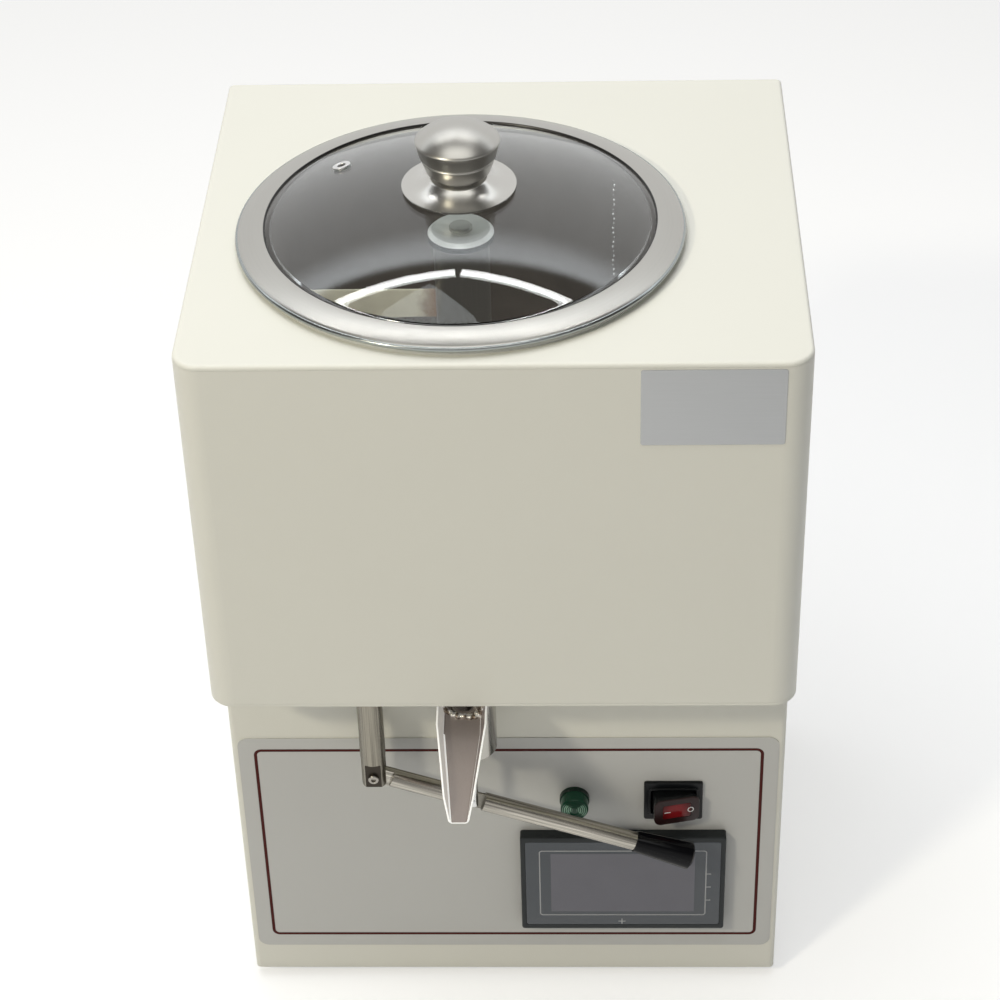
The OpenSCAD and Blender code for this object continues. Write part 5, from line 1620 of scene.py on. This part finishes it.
@dataclass
class ControlPanel(Part):
    """Touch panel, lamp and rocker switch on the printed front, with the lines printed round them.

    A print's corners are its left, bottom, right and top.
    """

    print_t: float = 0.06
    line: tuple[float, ...] = (-163.5, 42.5, 164.0, 212.3)
    screen: tuple[float, ...] = (26.4, 72.8, 121.4, 126.2)
    screen_line: tuple[float, ...] = (18.7, 69.2, 129.2, 129.2)
    ticks: tuple[float, ...] = (107.66, 95.6, 83.4)
    sunk: float = 0.7
    lens_r: float = 9.0
    grooves: tuple[tuple[float, float, float], ...] = (
        (8.4, 0, 0.4), (7.9, 0, 0.2), (7.2, 0.5, 0.2), (6.7, 0, 0.2), (6.1, 0, 0.2), (5.4, 0.5, 0.2),
        (4.9, 0, 0.2), (4.3, 0, 0.2), (3.6, 0.5, 0.2), (3.0, 0.5, 0.2), (2.4, 0, 0.4),
    )
    boot_d: float = 9.8
    drop: float = 1.5
    tilt: float = 12.0

    def build(self) -> None:
        """Builds what is set in the overlay and printed on it."""
        red = Moulded("red_print", (0.075, 0.012, 0.010), 0.5, 0.6, 0.002, shine=0.1)
        self.frame("red_line", self.line, 2.1, 5.0, self.spot.face_y).done(red, "cabinet", "rocker_red")
        self.touch_panel()
        self.lamp()
        self.switch()

    def flat(self, name: str, corners: Sequence[float], face: float) -> Piece:
        """Makes a thin printed area that lies on a front face."""
        x0, z0, x1, z1 = corners
        return Piece.block(name, (x0, face - self.print_t, z0), (x1, face, z1))

    def frame(self, name: str, corners: Sequence[float], width: float, radius: float, face: float) -> Piece:
        """Makes a thin printed frame that lies on a front face.

        Args:
            name: Name of the piece.
            corners: Its left, bottom, right and top.
            width: Width of its line.
            radius: Radius of its outer corners.
            face: Place of the front face.

        Returns:
            The new piece.
        """
        x0, z0, x1, z1 = corners
        low, high = (x0 + width, face - 5, z0 + width), (x1 - width, face + 5, z1 - width)
        tool = Piece.plate("inner", low, high, radius - width)
        return self.flat(name, corners, face).bevel(along_y, radius, 8).cut(tool)

    def touch_panel(self) -> None:
        """Makes the bezel, its film, the display and the marks beside it."""
        bezel, film = Span.of("panel_bezel"), Span.of("panel_screen")
        front, back, face = bezel.low.y - 2, bezel.low.y + self.sunk, film.low.y
        low, high = (film.low.x - 0.2, front, film.low.z - 0.2), (film.high.x + 0.2, back, film.high.z + 0.2)
        body = Piece.plate("touch_bezel", bezel.low, bezel.high, 2.0, 0.9)
        body.cut(Piece.plate("bed", low, high, 2.0, 0, 6)).soften(0.12, 1, 60)
        body.done(BEZEL, "cabinet", "panel_plastic", "panel_bezel")
        sheet = Piece.plate("touch_film", film.low, (film.high.x, back, film.high.z), 1.8, 0.12, 6)
        skin = Moulded("touch_film_grey", (0.056, 0.066, 0.080), 0.24, 0.5, 0.002, coat=0.12)
        sheet.done(skin, "cabinet", "panel_film", "panel_screen")
        grey = Moulded("display_grey", (0.128, 0.127, 0.156), 0.2, 6.0, 0.0, coat=0.2)
        self.flat("display", self.screen, face).soften(0.03, 1).done(grey, "cabinet", "panel_film")
        prints = [self.frame("display_line", self.screen_line, 0.75, 2.2, face)]
        for index, z in enumerate(self.ticks):
            tick = self.flat(f"tick_{index}", (129.0, z - 0.35, 132.2, z + 0.35), face)
            prints.append(tick.soften(0.02, 1))
        plus = self.flat("plus_mark", (71.2, 63.15, 75.9, 63.85), face)
        prints.append(plus.fuse(self.flat("upright", (73.2, 61.0, 73.9, 66.0), face)))
        for piece in prints:
            piece.done(LIGHT_PRINT, "cabinet", "panel_film")

    def lamp(self) -> None:
        """Makes the collar and the ringed green lens."""
        lens, body, y = Span.of("lamp_lens"), Span.of("lamp_body"), self.spot.face_y
        x, z = lens.middle.x, lens.middle.z
        facing = put((x, y, z), 90)
        outline = [(7.4, 0, 0.2), (9.7, 0), (9.7, 3.4, 0.5), (9.1, 4, 0.3), (9.05, 3.2), (7.4, 3.2)]
        collar = Piece.turned("lamp_collar", outline, 64, True)
        barrel = Piece.rod("barrel", 7.9, -34, 1, 48)
        nut = Piece.turned("nut", [(7.8, -6.6), (7.8, -2.6), (11.4, -2.6, 0.4), (11.4, -6.6, 0.4)], 6, True)
        dark = Moulded("lamp_collar_green", (0.004, 0.022, 0.012), 0.25, 0.6, 0.002, shine=0.3)
        collar.join(barrel, nut).place(facing).done(dark, "cabinet", "panel_plastic", "lamp_body")
        root, top = y - body.low.y - 0.8, y - lens.low.y
        rings = [(0, root), (self.lens_r, root), (self.lens_r, top - 0.9, 0.5)]
        rings += [(reach, top - sunk, edge) for reach, sunk, edge in self.grooves]
        cap = Piece.turned("green_lens", [*rings, (0, top)], 64).place(facing)
        cap.done(RingLens("green_lens_plastic", (x, y - top, z)), "cabinet", "lens_green", "lamp_lens")

    def switch(self) -> None:
        """Makes the switch's flange and shroud, and its rocker."""
        box, y = Span.of("switch_frame"), self.spot.face_y
        x, z, low = box.middle.x, box.middle.z, box.middle.z - self.drop
        flange = Piece.plate("switch_flange", (x - 19, y - 2.2, low - 16), (x + 19, y, low + 16), 1.6, 0.7, 5)
        first, last = (x - 16, y - 3.0, low - 11.6), (x + 16, y - 0.1, low + 11.6)
        collar = Piece.plate("collar", first, last, 1.8, 0.6, 5)
        block = Piece.block("switch_block", (x - 15.3, y - 0.01, z - 12.3), (x + 15.3, y + 26, z + 12.3))
        block.soften(0.4)
        well = Piece.plate("well", (x - 14.6, y - 8, low - 10.1), (x + 14.6, y + 12, low + 10.1), 1.2, 0, 4)
        flange.fuse(collar, block).cut(well, Piece.rod("socket", 1.65, -11.2, 11.2, 24).at(x, y + 5, z))
        for shift in (-8, 0, 8):
            tab = Piece.block("tab", (x + shift - 0.4, y + 25.9, z - 3), (x + shift + 0.4, y + 34.9, z + 3))
            flange.join(tab.soften(0.1, 1))
        flange.done(SWITCH_BLACK, "cabinet", "grip_black", "switch_frame")
        self.rocker(x, y - 1, low)

    def rocker(self, x: float, y: float, z: float) -> None:
        """Makes the rocker: its black boot, the red window in it and the marks.

        Args:
            x: Middle of the switch from left to right.
            y: Line on which the rocker tips.
            z: Height of its middle.
        """
        laid, crest = put((x, y, z), self.tilt, "Z"), -self.boot_d
        boot = Piece.plate("rocker_boot", (-13.4, crest, -9.3), (13.4, 4.0, 9.3), 3.4, 0, 6)
        cap = Piece.plate("cap", (-14.9, crest - 0.9, -10.6), (14.9, crest + 2.9, 10.6), 4.8)
        boot.fuse(cap).soften(0.9, 3, 30)
        bed = Piece.plate("bed", (-9.5, -18, -5.9), (9.5, crest - 0.1, 5.9), 1.4, 0, 4)
        ears = Piece.turned("ears", [(0, -9.7), (1.6, -9.7, 0.2), (1.6, 9.7, 0.2), (0, 9.7)], 24)
        boot.cut(bed).join(ears).place(laid).done(SWITCH_BLACK, "rocker", "grip_black", "switch_rocker")
        skin = Moulded("cap_brown", (0.020, 0.0065, 0.006), 0.3, 0.5, 0.004, shine=0.25)
        boot.paint(skin, lambda place, way: way.y < -0.2 and place.y < crest + 2, laid)
        face = crest - 1.0
        red = Piece.plate("red_rocker", (-9.4, face, -5.8), (9.4, face + 0.95, 5.8), 1.4, 0.4, 4)
        with red.editing(Pick.FACE):
            bpy.ops.mesh.bisect(plane_co=(0, 0, 0), plane_no=(1, 0, 0))
        red.shift(lambda place, way: abs(place.x) < SLACK and place.y < face + 0.2, (0, 0.35, 0))
        centre = (x + 1.5, y + crest, z)
        tone = Lens("red_rocker_plastic", (0.19, 0.009, 0.011), (0.035, 0.003, 0.003), centre, 12.5, 0.10)
        dash = Piece.block("mark_on", (-8.4, face - 0.06, -0.3), (-4.4, face + 0.05, 0.3)).soften(0.02, 1)
        ring = Piece.turned("mark_off", [(1.5, 0), (1.5, 0.1), (2.1, 0.1), (2.1, 0)], 32, True)
        ring.place(put((9.0, face + 0.04, 0), 90))
        for piece, finish in ((red, tone), (dash, WHITE_PRINT), (ring, WHITE_PRINT)):
            piece.place(laid).done(finish, "rocker", "rocker_red")


# Studio


@dataclass
class Studio:
    """White floor, white surround, soft lamps and the camera."""

    floor_size: float = 14.0
    ambient: float = 0.235
    sweep_end: float = 60.0
    spot: Place = (52.63, -1341.5, 1368.5)
    right: Place = (0.99943529, 0.02312783, -0.0243763)
    down: Place = (-0.00550918, -0.60284027, -0.79784287)
    forward: Place = (-0.03314739, 0.79752662, -0.60237243)
    lens: float = 96.03
    target: Place = (0.0, 0.0, 0.35)
    dome: Place = (-0.0215, -0.08, 0.57)
    strip_w: float = 0.058
    strip_power: float = 2.0

    def build(self) -> None:
        """Sets up the whole studio and keeps colours as written."""
        bpy.context.scene.view_settings.view_transform = "Standard"
        self.world()
        self.floor()
        self.camera()
        self.lamps()

    def seen(self, graph: Graph) -> Sock:
        """Tells whether a ray comes from the camera, a reflection or through glass.

        Args:
            graph: Node tree that gets the test.

        Returns:
            1 for such a ray and otherwise 0.
        """
        path = graph.add("LightPath")
        mirror = path.maths("MAXIMUM", path.out("Is Glossy Ray"), path.out("Is Transmission Ray"))
        return path.maths("MAXIMUM", path.out("Is Camera Ray"), mirror)

    def world(self) -> None:
        """Makes a white surround that lights the object only softly and is darker overhead."""
        world = bpy.data.worlds.new("studio")
        bpy.context.scene.world = world
        graph = Graph(world)
        way = graph.add("TexCoord").out("Generated")
        rise = way.maths("ARCTAN2", graph.axis(way, "Z"), graph.axis(way, "Y")) * (180 / math.pi)
        side = way.maths("ABSOLUTE", graph.axis(way, "X"))
        glow = rise.span(self.sweep_end - 14, self.sweep_end - 2)
        paper = graph.mix(glow, (1.0, 1.0, 1.0), (2.6, 2.7, 2.8))
        ceiling = graph.mix(rise.span(125.0, 168.0), (0.075, 0.07, 0.065), (0.75, 0.74, 0.72))
        panel = rise.span(87.0, 94.0) * (1 - rise.span(112.0, 128.0)) * (1 - side.span(0.34, 0.52))
        ceiling = graph.mix(panel, ceiling, (1.9, 1.9, 1.85))
        room = graph.mix(rise.span(self.sweep_end - 2.5, self.sweep_end + 1), paper, ceiling)
        room = graph.mix(side.span(0.80, 0.96), room, (0.16, 0.155, 0.15))
        shown = graph.mix(graph.add("LightPath").out("Is Camera Ray"), room, (1.0, 1.0, 1.0))
        lit = graph.mix(self.seen(graph), shade((0.99, 0.99, 1.0), self.ambient), shown)
        graph.add("OutputWorld", {"Surface": graph.add("Background", {"Color": lit, "Strength": 1.0})})

    def floor(self) -> None:
        """Lays the pale floor, which shows white and keeps the shadow."""
        floor = Piece.add("studio_floor", bpy.ops.mesh.primitive_plane_add, size=self.floor_size)
        paper = bpy.data.materials.new("studio_floor_white")
        graph = Graph(paper)
        matt = graph.add("BsdfDiffuse", {"Color": (0.80, 0.80, 0.79)})
        lift = graph.add("Emission", {"Color": (1.0, 1.0, 1.0), "Strength": 0.46})
        none = graph.add("Emission", {"Color": (0.0, 0.0, 0.0), "Strength": 0.0})
        shown = graph.add("MixShader", {0: self.seen(graph), 1: none, 2: lift})
        graph.add("OutputMaterial", {"Surface": graph.add("AddShader", {0: matt, 1: shown})})
        floor.obj.data.materials.append(paper)

    def hang(
        self, name: str, data: bpy.types.ID, at: Sequence[float], columns: Sequence[Vector]
    ) -> bpy.types.Object:
        """Puts a lamp or the camera in the scene.

        Args:
            name: Name of the object.
            data: Its lamp or camera.
            at: Its place in metres.
            columns: Ways of its X, Y and Z axes.

        Returns:
            The object.
        """
        held = bpy.data.objects.new(name, data)
        bpy.context.scene.collection.objects.link(held)
        held.matrix_world = Matrix.Translation(at) @ Matrix(columns).transposed().to_4x4()
        return held

    def camera(self) -> None:
        """Puts the camera where the photograph was taken."""
        data = bpy.data.cameras.new("portrait")
        data.lens = self.lens
        data.sensor_width = 36.0
        data.clip_end = 50.0
        columns = [Vector(self.right), -Vector(self.down), -Vector(self.forward)]
        bpy.context.scene.camera = self.hang("portrait", data, Vector(self.spot) * MM, columns)

    def panel(self, name: str, size: Point, power: float, colour: Colour = (1, 1, 1)) -> bpy.types.Light:
        """Makes a rectangular soft lamp.

        Args:
            name: Name of the lamp.
            size: Its length and width in metres.
            power: Its power in watts.
            colour: Its colour.

        Returns:
            The lamp.
        """
        data = bpy.data.lights.new(name, "AREA")
        data.shape = "RECTANGLE"
        data.size, data.size_y = size
        data.energy = power
        data.color = colour
        return data

    def lamps(self) -> None:
        """Hangs the two soft lamps, and the two strips that show in the dome."""
        for name, at, size, power, colour, mirrored in (
            ("overhead", (-0.3, -0.25, 2.6), (1.8, 1.4), 26.0, (0.965, 0.985, 1.0), False),
            ("front_left", (-1.6, -1.9, 2.25), (0.35, 0.2), 27.0, (1.0, 0.93, 0.76), True),
        ):
            turn = (Vector(self.target) - Vector(at)).to_track_quat("-Z", "Y").to_matrix()
            lamp = self.hang(name, self.panel(name, size, power, colour), at, list(turn.transposed()))
            lamp.visible_glossy = mirrored
        for name, start, end in (
            ("strip_left", (-0.8096, 0.501, 1.861), (-0.098, 0.638, 2.0027)),
            ("strip_right", (-0.064, 0.638, 2.004), (0.6127, 0.465, 1.9496)),
        ):
            reach, middle = Vector(end) - Vector(start), (Vector(start) + Vector(end)) / 2
            along, back = reach.normalized(), (middle - Vector(self.dome)).normalized()
            back = (back - along * back.dot(along)).normalized()
            data = self.panel(name, (reach.length, self.strip_w), self.strip_power)
            self.hang(name, data, middle, [along, back.cross(along), back])


def main() -> None:
    """Builds the sub-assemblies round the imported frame."""
    logging.basicConfig(level=logging.INFO, format="%(name)s %(message)s")
    Studio().build()
    dress_kept()
    spot = Layout.read()
    for kind in (Cabinet, Lid, Vessel, Valve, Lever, ControlPanel):
        LOG.info("building %s", kind.__name__)
        kind(spot).build()


if __name__ == "__main__":
    main()
